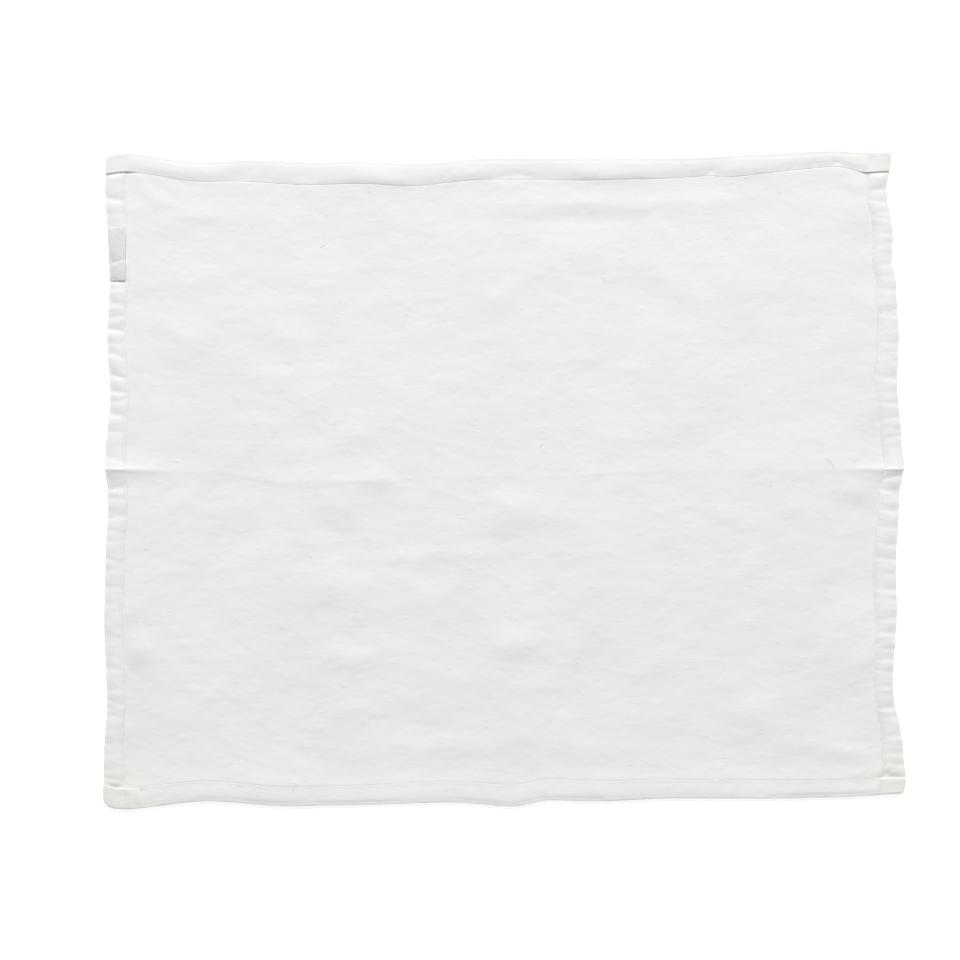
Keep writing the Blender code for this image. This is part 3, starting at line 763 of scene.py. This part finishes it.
class Strip:
    """One direction of the cloth's grid: a hem's stations, the field and the other hem's stations.

    pins are (cell, places) pairs: lines of the grid in the field that stay at places of the plan.
    """

    def __init__(self, index, cells, pins=()):
        total = cells + 2 * HEM_CELLS
        stations = np.arange(len(HEM_TRAVEL))
        self.low = np.interp(index, stations, HEM_TRAVEL)
        self.high = np.interp(total - index, stations, HEM_TRAVEL)
        self.in_low = index < HEM_CELLS
        self.in_high = index > total - HEM_CELLS
        self.cell = np.clip(index - HEM_CELLS, 0, cells)
        self.cells = cells
        self.pins = pins

    def field_place(self, first, last):
        """Place of each point of the field between its first and last line, through the pins."""
        knots = [0, *(cell for cell, _ in self.pins), self.cells]
        places = [first, *(place for _, place in self.pins), last]
        where = first
        for low, high, start, end in zip(knots, knots[1:], places, places[1:]):
            share = np.clip((self.cell - low) / (high - low), 0, 1)
            where = np.where(self.cell > low, start + (end - start) * share, where)
        return where

    def spread(self, low, high, low_width, high_width, gap, stack, height, cloth):
        """Place along the strip's axis, and height in the stack, of each point."""
        low_inset, low_level = hem_path(self.low, low_width, gap, stack, height, cloth)
        high_inset, high_level = hem_path(self.high, high_width, gap, stack, height, cloth)
        field = self.field_place(low + low_width + HEM_MARGIN, high - high_width - HEM_MARGIN)
        where = np.select([self.in_low, self.in_high], [low + low_inset, high - high_inset], field)
        level = np.select([self.in_low, self.in_high], [low_level, high_level], height)
        return where, level

    def cut_place(self, first, last, cloth):
        """Place of each point on the cut sheet, in millimetres from its first raw edge."""
        inner_centre = CUT_HEM_WIDTH - LAYER_GAP / 2 - cloth / 2
        outer_centre = LAYER_GAP + cloth / 2
        legs = (
            inner_centre - RAW_EDGE_INSET,
            pi * LAYER_GAP / 2,
            inner_centre - outer_centre,
            pi * LAYER_GAP,
            CUT_HEM_WIDTH - outer_centre,
            HEM_MARGIN,
        )
        run = np.concatenate([[0.0], np.cumsum(legs)])
        whole = 2 * run[-1] + last - first
        travels = np.arange(len(run))
        low = np.interp(self.low, travels, run)
        high = whole - np.interp(self.high, travels, run)
        field = run[-1] + self.field_place(first, last) - first
        return np.select([self.in_low, self.in_high], [low, high], field)


def needle_holes(strip):
    """1 on the whole rows of the grid, where the side seams' needle went through, and less between."""
    regular = (strip.cell < FIRST_CREASE_CELL) | (strip.cell > LAST_CREASE_CELL)
    outside = (strip.cell > 0) & (strip.cell < strip.cells)
    return np.where(regular & outside, np.cos(pi * strip.cell) ** 2, 0.0)


def folded_cloth(columns, rows, cloth):
    """The sheet's middle surface as arrays: x, y, z and the place on the cut sheet, in millimetres."""
    across = Strip(columns, FIELD_COLUMNS)
    x = across.field_place(-FIELD_HALF_WIDTH, FIELD_HALF_WIDTH)
    along = Strip(rows, FIELD_ROWS, crease_pins(x))
    y = along.field_place(FIELD_NEAR, FIELD_FAR)
    flat = np.zeros_like(x)
    for _ in range(PLAN_PASSES):
        gap = side_gap(x, y)
        left, right, *_ = hem_widths(x, y)
        x, layer = across.spread(left_x(y), right_x(y), left, right, gap, flat, flat, cloth)
        along.pins = crease_pins(x)
        stack = 2 * CORNER_GAP * hem_places(x, y, STEP_FADE)[0].beside
        gap = end_gap(x, y)
        *_, near, far = hem_widths(x, y)
        y, level = along.spread(near_y(x), far_y(x), near, far, gap, stack, layer, cloth)
    z = cloth / 2 + ground(x, y, needle_holes(along)) + level
    u = across.cut_place(-FIELD_HALF_WIDTH, FIELD_HALF_WIDTH, cloth)
    v = along.cut_place(FIELD_NEAR, FIELD_FAR, cloth)
    x, y = rounded_corners(x, y)
    return x, y, z, u, v


def top_of_cloth(x, y, cloth):
    """Height of the cloth's uppermost face over places in its plan, in millimetres."""
    x, y = np.atleast_1d(np.asarray(x, float)), np.atleast_1d(np.asarray(y, float))
    side, end = hem_places(x, y, STEP_FADE)
    stack = np.where(side.inset < side.width, 2 * side_gap(x, y), 2 * CORNER_GAP * side.beside * end.beside)
    folded = np.where(end.inset < end.width, 2 * (stack + end_gap(x, y)), 0.0)
    thinner = (1 - PRESSED_THICKNESS) * pressed(*hem_places(x, y)) * cloth / 2
    return cloth - thinner + ground(x, y) + stack + folded


# ------------------------------------------------------------------ shading


class Wire:
    """A shader value that takes part in Python sums: each sign adds a Math node."""

    def __init__(self, finish, socket):
        self.finish = finish
        self.socket = socket

    def __add__(self, other):
        return self.finish.maths("ADD", self, other)

    def __mul__(self, other):
        return self.finish.maths("MULTIPLY", self, other)

    __radd__ = __add__
    __rmul__ = __mul__


class Finish:
    """A material and the nodes that feed its Principled shader."""

    def __init__(self, name, colour, roughness, specular=0.5):
        self.material = bpy.data.materials.new(name)
        self.material.use_nodes = True
        self.tree = self.material.node_tree
        self.inputs = self.tree.nodes["Principled BSDF"].inputs
        self.colour = (*colour, 1)
        self.feed(self.inputs["Base Color"], self.colour)
        self.feed(self.inputs["Roughness"], roughness)
        self.feed(self.inputs["Specular IOR Level"], specular)

    def node(self, kind, output, settings=None, sockets=None):
        """Adds a node with its settings, then the values or wires of its sockets, and returns an output."""
        made = self.tree.nodes.new(kind)
        for key, value in (settings or {}).items():
            setattr(made, key, value)
        for key, value in (sockets or {}).items():
            self.feed(made.inputs[key], value)
        return Wire(self, made.outputs[output])

    def feed(self, socket, value):
        if isinstance(value, Wire):
            self.tree.links.new(value.socket, socket)
        else:
            socket.default_value = value

    def maths(self, operation, first, second):
        return self.node("ShaderNodeMath", 0, {"operation": operation}, {0: first, 1: second})

    def above(self, value, low, high):
        """0 below low, 1 above high, and a smooth step between."""
        settings = {"interpolation_type": "SMOOTHSTEP"}
        sockets = {"Value": value, "From Min": low, "From Max": high, "To Min": 0.0, "To Max": 1.0}
        return self.node("ShaderNodeMapRange", "Result", settings, sockets)

    def weave(self):
        return self.node("ShaderNodeUVMap", "UV", {"uv_map": WEAVE_MAP})

    def scaled(self, vector, across, along, turn=0.0):
        sockets = {"Vector": vector, "Scale": (across, along, across), "Rotation": (0, 0, turn)}
        return self.node("ShaderNodeMapping", "Vector", {"vector_type": "POINT"}, sockets)

    def noise(self, vector, pattern, roughness=0.5):
        place = self.scaled(vector, pattern.across, pattern.along)
        sockets = {"Vector": place, "Scale": 1.0, "Detail": pattern.detail, "Roughness": roughness}
        return self.node("ShaderNodeTexNoise", "Fac", {"noise_dimensions": "3D"}, sockets)

    def waves(self, vector, direction, distortion=0.0):
        settings = {"wave_type": "BANDS", "bands_direction": direction, "wave_profile": "SIN"}
        sockets = {"Vector": vector, "Scale": 1.0, "Distortion": distortion, "Detail": 0.0}
        return self.node("ShaderNodeTexWave", "Fac", settings, sockets)

    def mix(self, factor, first, second, blend="MIX"):
        settings = {"data_type": "RGBA", "blend_type": blend}
        return self.node("ShaderNodeMix", 2, settings, {0: factor, 6: first, 7: second})

    def bump(self, height):
        """Raises the surface by height in millimetres."""
        sockets = {"Height": height, "Strength": 1.0, "Distance": MM}
        self.feed(self.inputs["Normal"], self.node("ShaderNodeBump", "Normal", {}, sockets))

    def lay_colour(self, colour, tone, blue_tone=None):
        """Gives the surface a colour times a tone that varies, and a tone of its own for the blue."""
        blue_tone = tone if blue_tone is None else blue_tone
        shade = self.node("ShaderNodeCombineColor", "Color", {}, {0: tone, 1: tone, 2: blue_tone})
        self.feed(self.inputs["Base Color"], self.mix(1.0, colour, shade, "MULTIPLY"))


def linen_finish(look):
    """Washed linen: an uneven plain weave with slubs, crinkles and a warm tint in the hems, partly painted
    shade.
    """
    finish = Finish("washed_linen", look.linen_colour, roughness=0.92, specular=0.15)
    finish.feed(finish.inputs["Sheen Weight"], LINEN_SHEEN)
    finish.feed(finish.inputs["Sheen Roughness"], LINEN_SHEEN_ROUGHNESS)
    weave = finish.weave()

    # the plain weave: warp and weft wander a little and vary in thickness
    wander = finish.noise(weave, YARN_WANDER)
    both_ways = finish.node("ShaderNodeCombineXYZ", "Vector", {}, {0: wander, 1: wander})
    settings = {"operation": "MULTIPLY_ADD"}
    sockets = {0: both_ways, 1: (YARN_WANDER_REACH,) * 3, 2: weave}
    wobbled = finish.node("ShaderNodeVectorMath", "Vector", settings, sockets)
    yarns = 1 / look.thread_pitch * WAVE_BAND
    threads = finish.scaled(wobbled, yarns, yarns)
    woven = finish.waves(threads, "X") * finish.waves(threads, "Y")
    woven = woven + finish.noise(weave, YARN_GRAIN) * YARN_GRAIN_SHARE

    # slubs: thicker lengths of yarn, mostly in the weft, and small nubs
    weft_slub = finish.above(finish.noise(weave, WEFT_SLUB), *WEFT_SLUB_STEP)
    warp_slub = finish.above(finish.noise(weave, WARP_SLUB), *WARP_SLUB_STEP)
    nub = finish.above(finish.noise(weave, NUB), *NUB_STEP)

    # crinkles and soft folds that washing left
    crinkle = finish.noise(weave, CRINKLE, CRINKLE_ROUGHNESS)
    fold = finish.noise(weave, SOFT_FOLD)
    relief = woven * WOVEN_RELIEF + weft_slub * WEFT_SLUB.relief + warp_slub * WARP_SLUB.relief
    finish.bump(relief + nub * NUB.relief + crinkle * CRINKLE.relief + fold * SOFT_FOLD.relief)

    # tone: patches where the washed yarn lies denser, a little that follows the crinkles, slubs and nubs,
    # and a warm tint in and near the hems, partly the layered cloth's own tone and partly painted warm shade
    # between the layers
    patch = finish.noise(weave, PATCH)
    tone = LINEN_TONE + patch * PATCH.tone + crinkle * CRINKLE.tone
    tone = tone + weft_slub * WEFT_SLUB.tone + nub * NUB.tone
    # the warm tint, partly painted shade between the layers, read from the cloth's vertices
    warm_shade = finish.node("ShaderNodeAttribute", "Fac", {"attribute_name": SHADE_WARMTH_ATTRIBUTE})
    finish.lay_colour(finish.mix(warm_shade, finish.colour, (*look.hem_and_shade_colour, 1)), tone)
    return finish.material


def label_finish(look):
    """Satin-woven tape: fine ribs across it, a little gloss."""
    finish = Finish("woven_tape", look.label_colour, roughness=0.62, specular=0.3)
    weave = finish.weave()
    rib = finish.waves(finish.scaled(weave, 1, WAVE_BAND / LABEL_RIB_PITCH), "Y")
    cord = finish.waves(finish.scaled(weave, WAVE_BAND / LABEL_CORD_PITCH, 1), "X")
    crumple = finish.noise(weave, LABEL_CRUMPLE)
    finish.bump(rib * LABEL_RIB_RELIEF + cord * LABEL_CORD_RELIEF + crumple * LABEL_CRUMPLE.relief)
    finish.lay_colour(finish.colour, LABEL_TONE + crumple * LABEL_CRUMPLE.tone + rib * LABEL_RIB_TONE)
    return finish.material


def thread_finish(look):
    """Twisted sewing cotton."""
    finish = Finish("sewing_cotton", look.thread_colour, roughness=0.8)
    place = finish.node("ShaderNodeTexCoord", "Object")
    turned = finish.scaled(place, THREAD_TWIST_SCALE, THREAD_TWIST_SCALE, radians(45))
    twist = finish.waves(turned, "DIAGONAL", THREAD_TWIST_WAVER)
    fuzz = finish.noise(place, THREAD_FUZZ)
    finish.bump(twist * THREAD_TWIST_RELIEF + fuzz * THREAD_FUZZ.relief)
    finish.lay_colour(finish.colour, THREAD_TONE + fuzz * THREAD_FUZZ.tone)
    return finish.material


def fibre_finish(look):
    """Loose flax fibres, darker than the cloth and streaked."""
    finish = Finish("flax_fibre", look.fibre_colour, roughness=0.7)
    place = finish.node("ShaderNodeTexCoord", "Object")
    streak = finish.noise(place, FIBRE_STREAK) * FIBRE_STREAK.tone
    finish.lay_colour(finish.colour, FIBRE_TONE + streak, FIBRE_BLUE_TONE + streak)
    return finish.material


def floor_finish(look):
    """A pale floor that glows faintly, as a white studio table does."""
    finish = Finish("pale_floor", look.floor_colour, roughness=0.85, specular=0.1)
    finish.feed(finish.inputs["Emission Color"], (1, 1, 1, 1))
    finish.feed(finish.inputs["Emission Strength"], FLOOR_GLOW)
    return finish.material


# ------------------------------------------------------------------ meshes


def new_piece(name, bm, material):
    mesh = bpy.data.meshes.new(name)
    bm.to_mesh(mesh)
    bm.free()
    mesh.materials.append(material)
    mesh.shade_smooth()
    piece = bpy.data.objects.new(name, mesh)
    bpy.context.scene.collection.objects.link(piece)
    return piece


def thicken(piece, thickness, press=None):
    """Gives a sheet its thickness, half on each side, and less at the vertices that are pressed."""
    solid = piece.modifiers.new("cloth thickness", "SOLIDIFY")
    solid.thickness = thickness
    solid.offset = 0
    solid.use_even_offset = False
    if press is not None:
        group = piece.vertex_groups.new(name="full thickness")
        for index, share in enumerate(press):
            group.add([index], 1 - float(share), "REPLACE")
        solid.vertex_group = group.name
        solid.thickness_vertex_group = PRESSED_THICKNESS


def grid_places(bm, columns, rows):
    """Column and row of each vertex of a grid that create_grid made two units wide."""
    co = np.array([vert.co for vert in bm.verts])
    return (co[:, 0] + 1) / 2 * columns, (co[:, 1] + 1) / 2 * rows


def place_vertices(bm, x, y, z):
    for vert, point in zip(bm.verts, np.stack([x, y, z], 1) * MM):
        vert.co = point


def map_weave(bm, u, v):
    """A UV map in metres of the cut sheet, so that the weave follows the cloth round its folds."""
    layer = bm.loops.layers.uv.new(WEAVE_MAP)
    bm.verts.index_update()
    for face in bm.faces:
        for loop in face.loops:
            index = loop.vert.index
            loop[layer].uv = (u[index] * MM, v[index] * MM)


def joined(parts):
    """One mesh in metres of many small ones in millimetres."""
    whole = bmesh.new()
    one = bpy.data.meshes.new("one part")
    for part in parts:
        bmesh.ops.scale(part, vec=(MM, MM, MM), verts=part.verts[:])
        part.to_mesh(one)
        whole.from_mesh(one)
        part.free()
    bpy.data.meshes.remove(one)
    return whole


def sheet_grid():
    """The cloth's flat grid, cut finer along the hems where their top layers show."""
    columns = FIELD_COLUMNS + 2 * HEM_CELLS
    rows = FIELD_ROWS + 2 * HEM_CELLS
    bm = bmesh.new()
    bmesh.ops.create_grid(bm, x_segments=columns, y_segments=rows, size=1)

    def along_hem(edge, axis, cells, other_cells):
        """Whether an edge runs along a hem's fine part: axis is the direction across that hem."""
        first, second = (vert.co for vert in edge.verts)
        station = (first[axis] + 1) / 2 * cells
        middle = ((first[1 - axis] + second[1 - axis]) / 2 + 1) / 2 * other_cells
        station = min(station, cells - station)
        runs_along = abs(first[axis] - second[axis]) * cells < HALF_CELL
        fine = FIRST_FINE_STATION - HALF_CELL < station < LAST_FINE_STATION + HALF_CELL
        return runs_along and fine and HEM_CELLS < middle < other_cells - HEM_CELLS

    side_edges = [edge for edge in bm.edges if along_hem(edge, 0, columns, rows)]
    end_edges = [edge for edge in bm.edges if along_hem(edge, 1, rows, columns)]
    for edges in (side_edges, end_edges):
        bmesh.ops.subdivide_edges(bm, edges=edges, cuts=FINE_CUTS, use_grid_fill=True)
    return bm, columns, rows


def layer_shade_warmth(x, y):
    """A warm tint, partly the layered cloth's own tone and partly painted warm shade between the layers: a
    little in the hems, more in the corners, fading into the field.
    """
    side, end = hem_places(x, y, SHADE_WARMTH_FADE)
    hems = np.maximum(side.beside, end.beside) * np.where(y > 0, FAR_SHADE_WARMTH, NEAR_SHADE_WARMTH)
    far_corner = np.where(x < 0, FAR_LEFT_SHADE_WARMTH, FAR_RIGHT_SHADE_WARMTH)
    near_corner = np.where(x < 0, NEAR_LEFT_SHADE_WARMTH, NEAR_RIGHT_SHADE_WARMTH)
    corner = np.where(y > 0, far_corner, near_corner)
    return hems + (corner - hems) * side.beside * end.beside


def build_cloth(sizes, look):
    """The folded sheet, and the width and length that it was cut to."""
    bm, columns, rows = sheet_grid()
    x, y, z, u, v = folded_cloth(*grid_places(bm, columns, rows), sizes.cloth_thickness / MM)
    place_vertices(bm, x, y, z)
    map_weave(bm, u, v)
    piece = new_piece("linen_cloth", bm, linen_finish(look))
    # each vertex's warm tint, partly painted shade between the layers
    attribute = piece.data.attributes.new(SHADE_WARMTH_ATTRIBUTE, "FLOAT", "POINT")
    attribute.data.foreach_set("value", layer_shade_warmth(x, y).astype(np.float32))
    thicken(piece, sizes.cloth_thickness, pressed(*hem_places(x, y)))
    return piece, (float(u.max() * MM), float(v.max() * MM))


def thread_along_x(length, width, rings, dive):
    """A short thread along X, thinner at its ends, that rises from the cloth and dives in again."""
    bm = bmesh.new()
    start = Matrix.Translation((-length / 2, 0, 0)) @ Matrix.Rotation(pi / 2, 4, "Y")
    bmesh.ops.create_circle(bm, cap_ends=True, segments=THREAD_SIDES, radius=width / 2, matrix=start)
    face = bm.faces[:][0]
    for _ in range(rings - 1):
        grown = bmesh.ops.extrude_face_region(bm, geom=[face])
        face = next(item for item in grown["geom"] if isinstance(item, bmesh.types.BMFace))
        bmesh.ops.translate(bm, vec=(length / (rings - 1), 0, 0), verts=face.verts)
    for vert in bm.verts:
        share = 2 * vert.co.x / length
        slim = 1 - THREAD_TAPER * abs(share) ** TAPER_POWER
        vert.co.y *= slim
        vert.co.z = vert.co.z * slim - dive * abs(share) ** DIVE_POWER
    bmesh.ops.recalc_face_normals(bm, faces=bm.faces[:])
    return bm


def row_places(x):
    """Y of the needle holes down a side seam near x, from the near hem's margin to the far one's."""
    below = range(FIRST_CREASE_CELL + 1)
    above = range(LAST_CREASE_CELL, FIELD_ROWS + 1)
    cells = np.array([*below, (FIRST_CREASE_CELL + LAST_CREASE_CELL) / 2, *above], float)
    edge = np.full(1, x)
    strip = Strip(cells + HEM_CELLS, FIELD_ROWS, crease_pins(edge))
    *_, near, far = hem_widths(edge, edge)
    return strip.field_place(near_y(edge) + near + HEM_MARGIN, far_y(edge) - far - HEM_MARGIN)


def seam_lines(pitch):
    """Each seam as a function from its travel to its plan place, and the travels of its needle holes."""
    def left(y):
        return left_x(y) + read(LEFT_HEM, "width", y) - SEAM_INSET, y

    def right(y):
        return right_x(y) - read(RIGHT_HEM, "width", y) + SEAM_INSET, y

    def near(x):
        return x, near_y(x) + read(NEAR_HEM, "width", x) - SEAM_INSET

    def far(x):
        return x, far_y(x) - read(FAR_HEM, "width", x) + SEAM_INSET

    across = np.arange(SEAM_START, SEAM_END, pitch)
    return (left, row_places(SEAM_START)), (right, row_places(SEAM_END)), (near, across), (far, across)


def seam_places(pitch, length, cloth):
    """A matrix for each stitch, laid on the hem's top between two needle holes, in millimetres."""
    places = []
    for line, holes in seam_lines(pitch):
        centres = (holes[1:] + holes[:-1]) / 2
        half = np.minimum(holes[1:] - holes[:-1], pitch) / pitch * length / 2
        start_x, start_y = line(centres - half)
        end_x, end_y = line(centres + half)
        starts = np.stack([start_x, start_y, top_of_cloth(start_x, start_y, cloth) - STITCH_SINK], 1)
        ends = np.stack([end_x, end_y, top_of_cloth(end_x, end_y, cloth) - STITCH_SINK], 1)
        for start, end in zip(map(Vector, starts), map(Vector, ends)):
            turn = (end - start).to_track_quat("X", "Z").to_matrix().to_4x4()
            places.append(Matrix.Translation((start + end) / 2) @ turn)
    return places


def build_stitches(sizes, look):
    """All four seams, as copies of one stitch."""
    pitch, length = sizes.stitch_pitch / MM, sizes.stitch_length / MM
    stitch = thread_along_x(length, sizes.stitch_width / MM, STITCH_RINGS, STITCH_DIVE)

    def copies():
        for place in seam_places(pitch, length, sizes.cloth_thickness / MM):
            copy = stitch.copy()
            bmesh.ops.transform(copy, matrix=place, verts=copy.verts[:])
            yield copy

    seams = joined(copies())
    stitch.free()
    return new_piece("hem_stitches", seams, thread_finish(look))


def build_label(sizes, look):
    """The label's straight-edged plan, its far inner corner rounded, laid over the hem's top."""
    bm = bmesh.new()
    bmesh.ops.create_grid(bm, x_segments=LABEL_COLUMNS, y_segments=LABEL_ROWS, size=1)
    across, along = grid_places(bm, 1, 1)
    y = LABEL_NEAR.y + (LABEL_FAR.y - LABEL_NEAR.y) * along
    outer = LABEL_NEAR.outer_x + (LABEL_FAR.outer_x - LABEL_NEAR.outer_x) * along
    inner = LABEL_NEAR.inner_x + (LABEL_FAR.inner_x - LABEL_NEAR.inner_x) * along
    x = outer + (inner - outer) * across
    u, v = x - LABEL_FAR.outer_x, y - LABEL_NEAR.y
    x, y = round_off(x, y, inner, LABEL_FAR.y, LABEL_CORNER_RADIUS, 1, 1)
    cloth = sizes.cloth_thickness / MM
    steps = ((0, 0), (LABEL_REACH, 0), (-LABEL_REACH, 0), (0, LABEL_REACH), (0, -LABEL_REACH))
    below = np.max([top_of_cloth(x + dx, y + dy, cloth) for dx, dy in steps], axis=0)
    place_vertices(bm, x, y, below + LABEL_GAP + sizes.label_thickness / MM / 2)
    map_weave(bm, u, v)
    piece = new_piece("woven_label", bm, label_finish(look))
    thicken(piece, sizes.label_thickness)
    return piece


def bowed_fibre(row, cloth):
    """One loose fibre, bent into a bow, turned, and laid over the cloth."""
    fibre = thread_along_x(row.length, FIBRE_WIDTH, FIBRE_RINGS, 0.0)
    verts = fibre.verts[:]
    for vert in verts:
        share = 2 * vert.co.x / row.length
        vert.co.y += row.bow * (1 - share * share)
    turn = Matrix.Rotation(radians(row.turn), 3, "Z")
    bmesh.ops.rotate(fibre, cent=(0, 0, 0), matrix=turn, verts=verts)
    bmesh.ops.translate(fibre, vec=(row.x, row.y, 0), verts=verts)
    top = top_of_cloth([vert.co.x for vert in verts], [vert.co.y for vert in verts], cloth)
    for vert, height in zip(verts, top):
        vert.co.z += height + FIBRE_WIDTH / 2
    return fibre


def build_fibres(sizes, look):
    cloth = sizes.cloth_thickness / MM
    fibres = joined(bowed_fibre(row, cloth) for row in LOOSE_FIBRES)
    return new_piece("loose_fibres", fibres, fibre_finish(look))


def build_floor(look):
    bm = bmesh.new()
    bmesh.ops.create_grid(bm, x_segments=1, y_segments=1, size=FLOOR_HALF_WIDTH)
    bmesh.ops.translate(bm, vec=(0, 0, -FLOOR_DROP), verts=bm.verts[:])
    return new_piece("floor", bm, floor_finish(look))


# ------------------------------------------------------------------ light and camera


def light_studio(scene):
    world = bpy.data.worlds.new("studio")
    world.use_nodes = True
    background = world.node_tree.nodes["Background"]
    background.inputs["Color"].default_value = (1, 1, 1, 1)
    background.inputs["Strength"].default_value = SKY_STRENGTH
    scene.world = world

    lamp = bpy.data.lights.new("softbox", "AREA")
    lamp.shape = "RECTANGLE"
    lamp.size, lamp.size_y = SOFTBOX_SIZE
    lamp.energy = SOFTBOX_POWER
    light = bpy.data.objects.new("softbox", lamp)
    light.location = SOFTBOX_PLACE
    light.rotation_euler = (-Vector(light.location)).to_track_quat("-Z", "Y").to_euler()
    scene.collection.objects.link(light)


def set_camera(scene):
    shot = bpy.data.cameras.new("camera")
    shot.sensor_width = SENSOR_WIDTH
    shot.lens = SENSOR_WIDTH * CAMERA_HEIGHT / PICTURE_WIDTH
    shot.clip_end = FARTHEST_SEEN
    camera = bpy.data.objects.new("camera", shot)
    camera.location = (CAMERA_X, 0, CAMERA_HEIGHT)
    scene.collection.objects.link(camera)
    scene.camera = camera
    scene.view_settings.view_transform = "Standard"


# ------------------------------------------------------------------ add-on


def length_property(name, description, default, least, most, precision=5):
    return bpy.props.FloatProperty(
        name=name, description=description, default=default, min=least, max=most,
        precision=precision, unit="LENGTH",
    )


def colour_property(name, description, default):
    return bpy.props.FloatVectorProperty(
        name=name, description=description, default=default, min=0, max=1, size=3, subtype="COLOR"
    )


class PlacematSizes(bpy.types.PropertyGroup):
    cloth_thickness: length_property("Cloth thickness", "One layer of the linen", 0.00032, 0.0002, 0.001)
    stitch_pitch: length_property("Stitch pitch", "From one stitch to the next", 0.0031, 0.0015, 0.006, 4)
    stitch_length: length_property("Stitch length", "Visible length of one stitch", 0.0023, 0.001, 0.005, 4)
    stitch_width: length_property("Thread width", "Thickness of the sewing thread", 0.00034, 0.0001, 0.001)
    label_thickness: length_property("Label thickness", "Thickness of the label", 0.00035, 0.0001, 0.001)


class PlacematLook(bpy.types.PropertyGroup):
    linen_colour: colour_property("Linen", "Colour of the washed linen", (0.80, 0.80, 0.799))
    # the layered linen's colour: partly its own tone, partly painted warm shade between the layers
    hem_and_shade_colour: colour_property("Layered linen", "Colour where layers lie together", (0.806, 0.792, 0.762))
    label_colour: colour_property("Label", "Colour of the woven label", (0.752, 0.752, 0.755))
    thread_colour: colour_property("Thread", "Colour of the sewing thread", (0.83, 0.83, 0.82))
    fibre_colour: colour_property("Loose fibres", "Colour of loose flax fibres", (0.42, 0.40, 0.37))
    floor_colour: colour_property("Floor", "Colour of the floor", (0.95, 0.95, 0.95))
    thread_pitch: length_property("Weave pitch", "From one yarn to the next", 0.00065, 0.0002, 0.003)


class PLACEMAT_OT_cloth(bpy.types.Operator):
    """Fold the sheet of linen, with its hems, creases and wrinkles"""

    bl_idname = "placemat.cloth"
    bl_label = "Linen cloth"

    def execute(self, context):
        piece, cut = build_cloth(context.scene.placemat_sizes, context.scene.placemat_look)
        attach(piece, "root")
        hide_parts("cloth")
        context.scene["placemat_cut"] = cut
        return {"FINISHED"}


class PLACEMAT_OT_stitches(bpy.types.Operator):
    """Sew the hems down"""

    bl_idname = "placemat.stitches"
    bl_label = "Hem stitches"

    def execute(self, context):
        piece = build_stitches(context.scene.placemat_sizes, context.scene.placemat_look)
        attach(piece, "root")
        return {"FINISHED"}


class PLACEMAT_OT_label(bpy.types.Operator):
    """Lay the woven label on the left hem"""

    bl_idname = "placemat.label"
    bl_label = "Woven label"

    def execute(self, context):
        piece = build_label(context.scene.placemat_sizes, context.scene.placemat_look)
        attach(piece, "root")
        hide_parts("label")
        return {"FINISHED"}


class PLACEMAT_OT_fibres(bpy.types.Operator):
    bl_idname = "placemat.fibres"
    bl_label = "Loose fibres"

    def execute(self, context):
        piece = build_fibres(context.scene.placemat_sizes, context.scene.placemat_look)
        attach(piece, "root")
        tuple(context.scene["placemat_cut"])
        return {"FINISHED"}


class PLACEMAT_OT_stage(bpy.types.Operator):
    """Set the floor, the soft light from the far side and the camera straight above"""

    bl_idname = "placemat.stage"
    bl_label = "Studio"

    def execute(self, context):
        build_floor(context.scene.placemat_look)
        light_studio(context.scene)
        set_camera(context.scene)
        return {"FINISHED"}


OPERATORS = (
    PLACEMAT_OT_cloth,
    PLACEMAT_OT_stitches,
    PLACEMAT_OT_label,
    PLACEMAT_OT_fibres,
    PLACEMAT_OT_stage,
)


class PLACEMAT_PT_panel(bpy.types.Panel):
    """The placemat's pieces, sizes and colours"""

    bl_label = "Linen placemat"
    bl_space_type = "VIEW_3D"
    bl_region_type = "UI"
    bl_category = "Placemat"

    def draw(self, context):
        column = self.layout.column()
        for operator in OPERATORS:
            column.operator(operator.bl_idname)
        for group in (context.scene.placemat_sizes, context.scene.placemat_look):
            for name in group.__annotations__:
                column.prop(group, name)


CLASSES = (PlacematSizes, PlacematLook, *OPERATORS, PLACEMAT_PT_panel)


def register():
    for entry in CLASSES:
        bpy.utils.register_class(entry)
    bpy.types.Scene.placemat_sizes = bpy.props.PointerProperty(type=PlacematSizes)
    bpy.types.Scene.placemat_look = bpy.props.PointerProperty(type=PlacematLook)


def unregister():
    del bpy.types.Scene.placemat_look
    del bpy.types.Scene.placemat_sizes
    for entry in reversed(CLASSES):
        bpy.utils.unregister_class(entry)


def main():
    register()
    bpy.ops.placemat.cloth()
    bpy.ops.placemat.stitches()
    bpy.ops.placemat.label()
    bpy.ops.placemat.fibres()
    bpy.ops.placemat.stage()


if __name__ == "__main__":
    main()
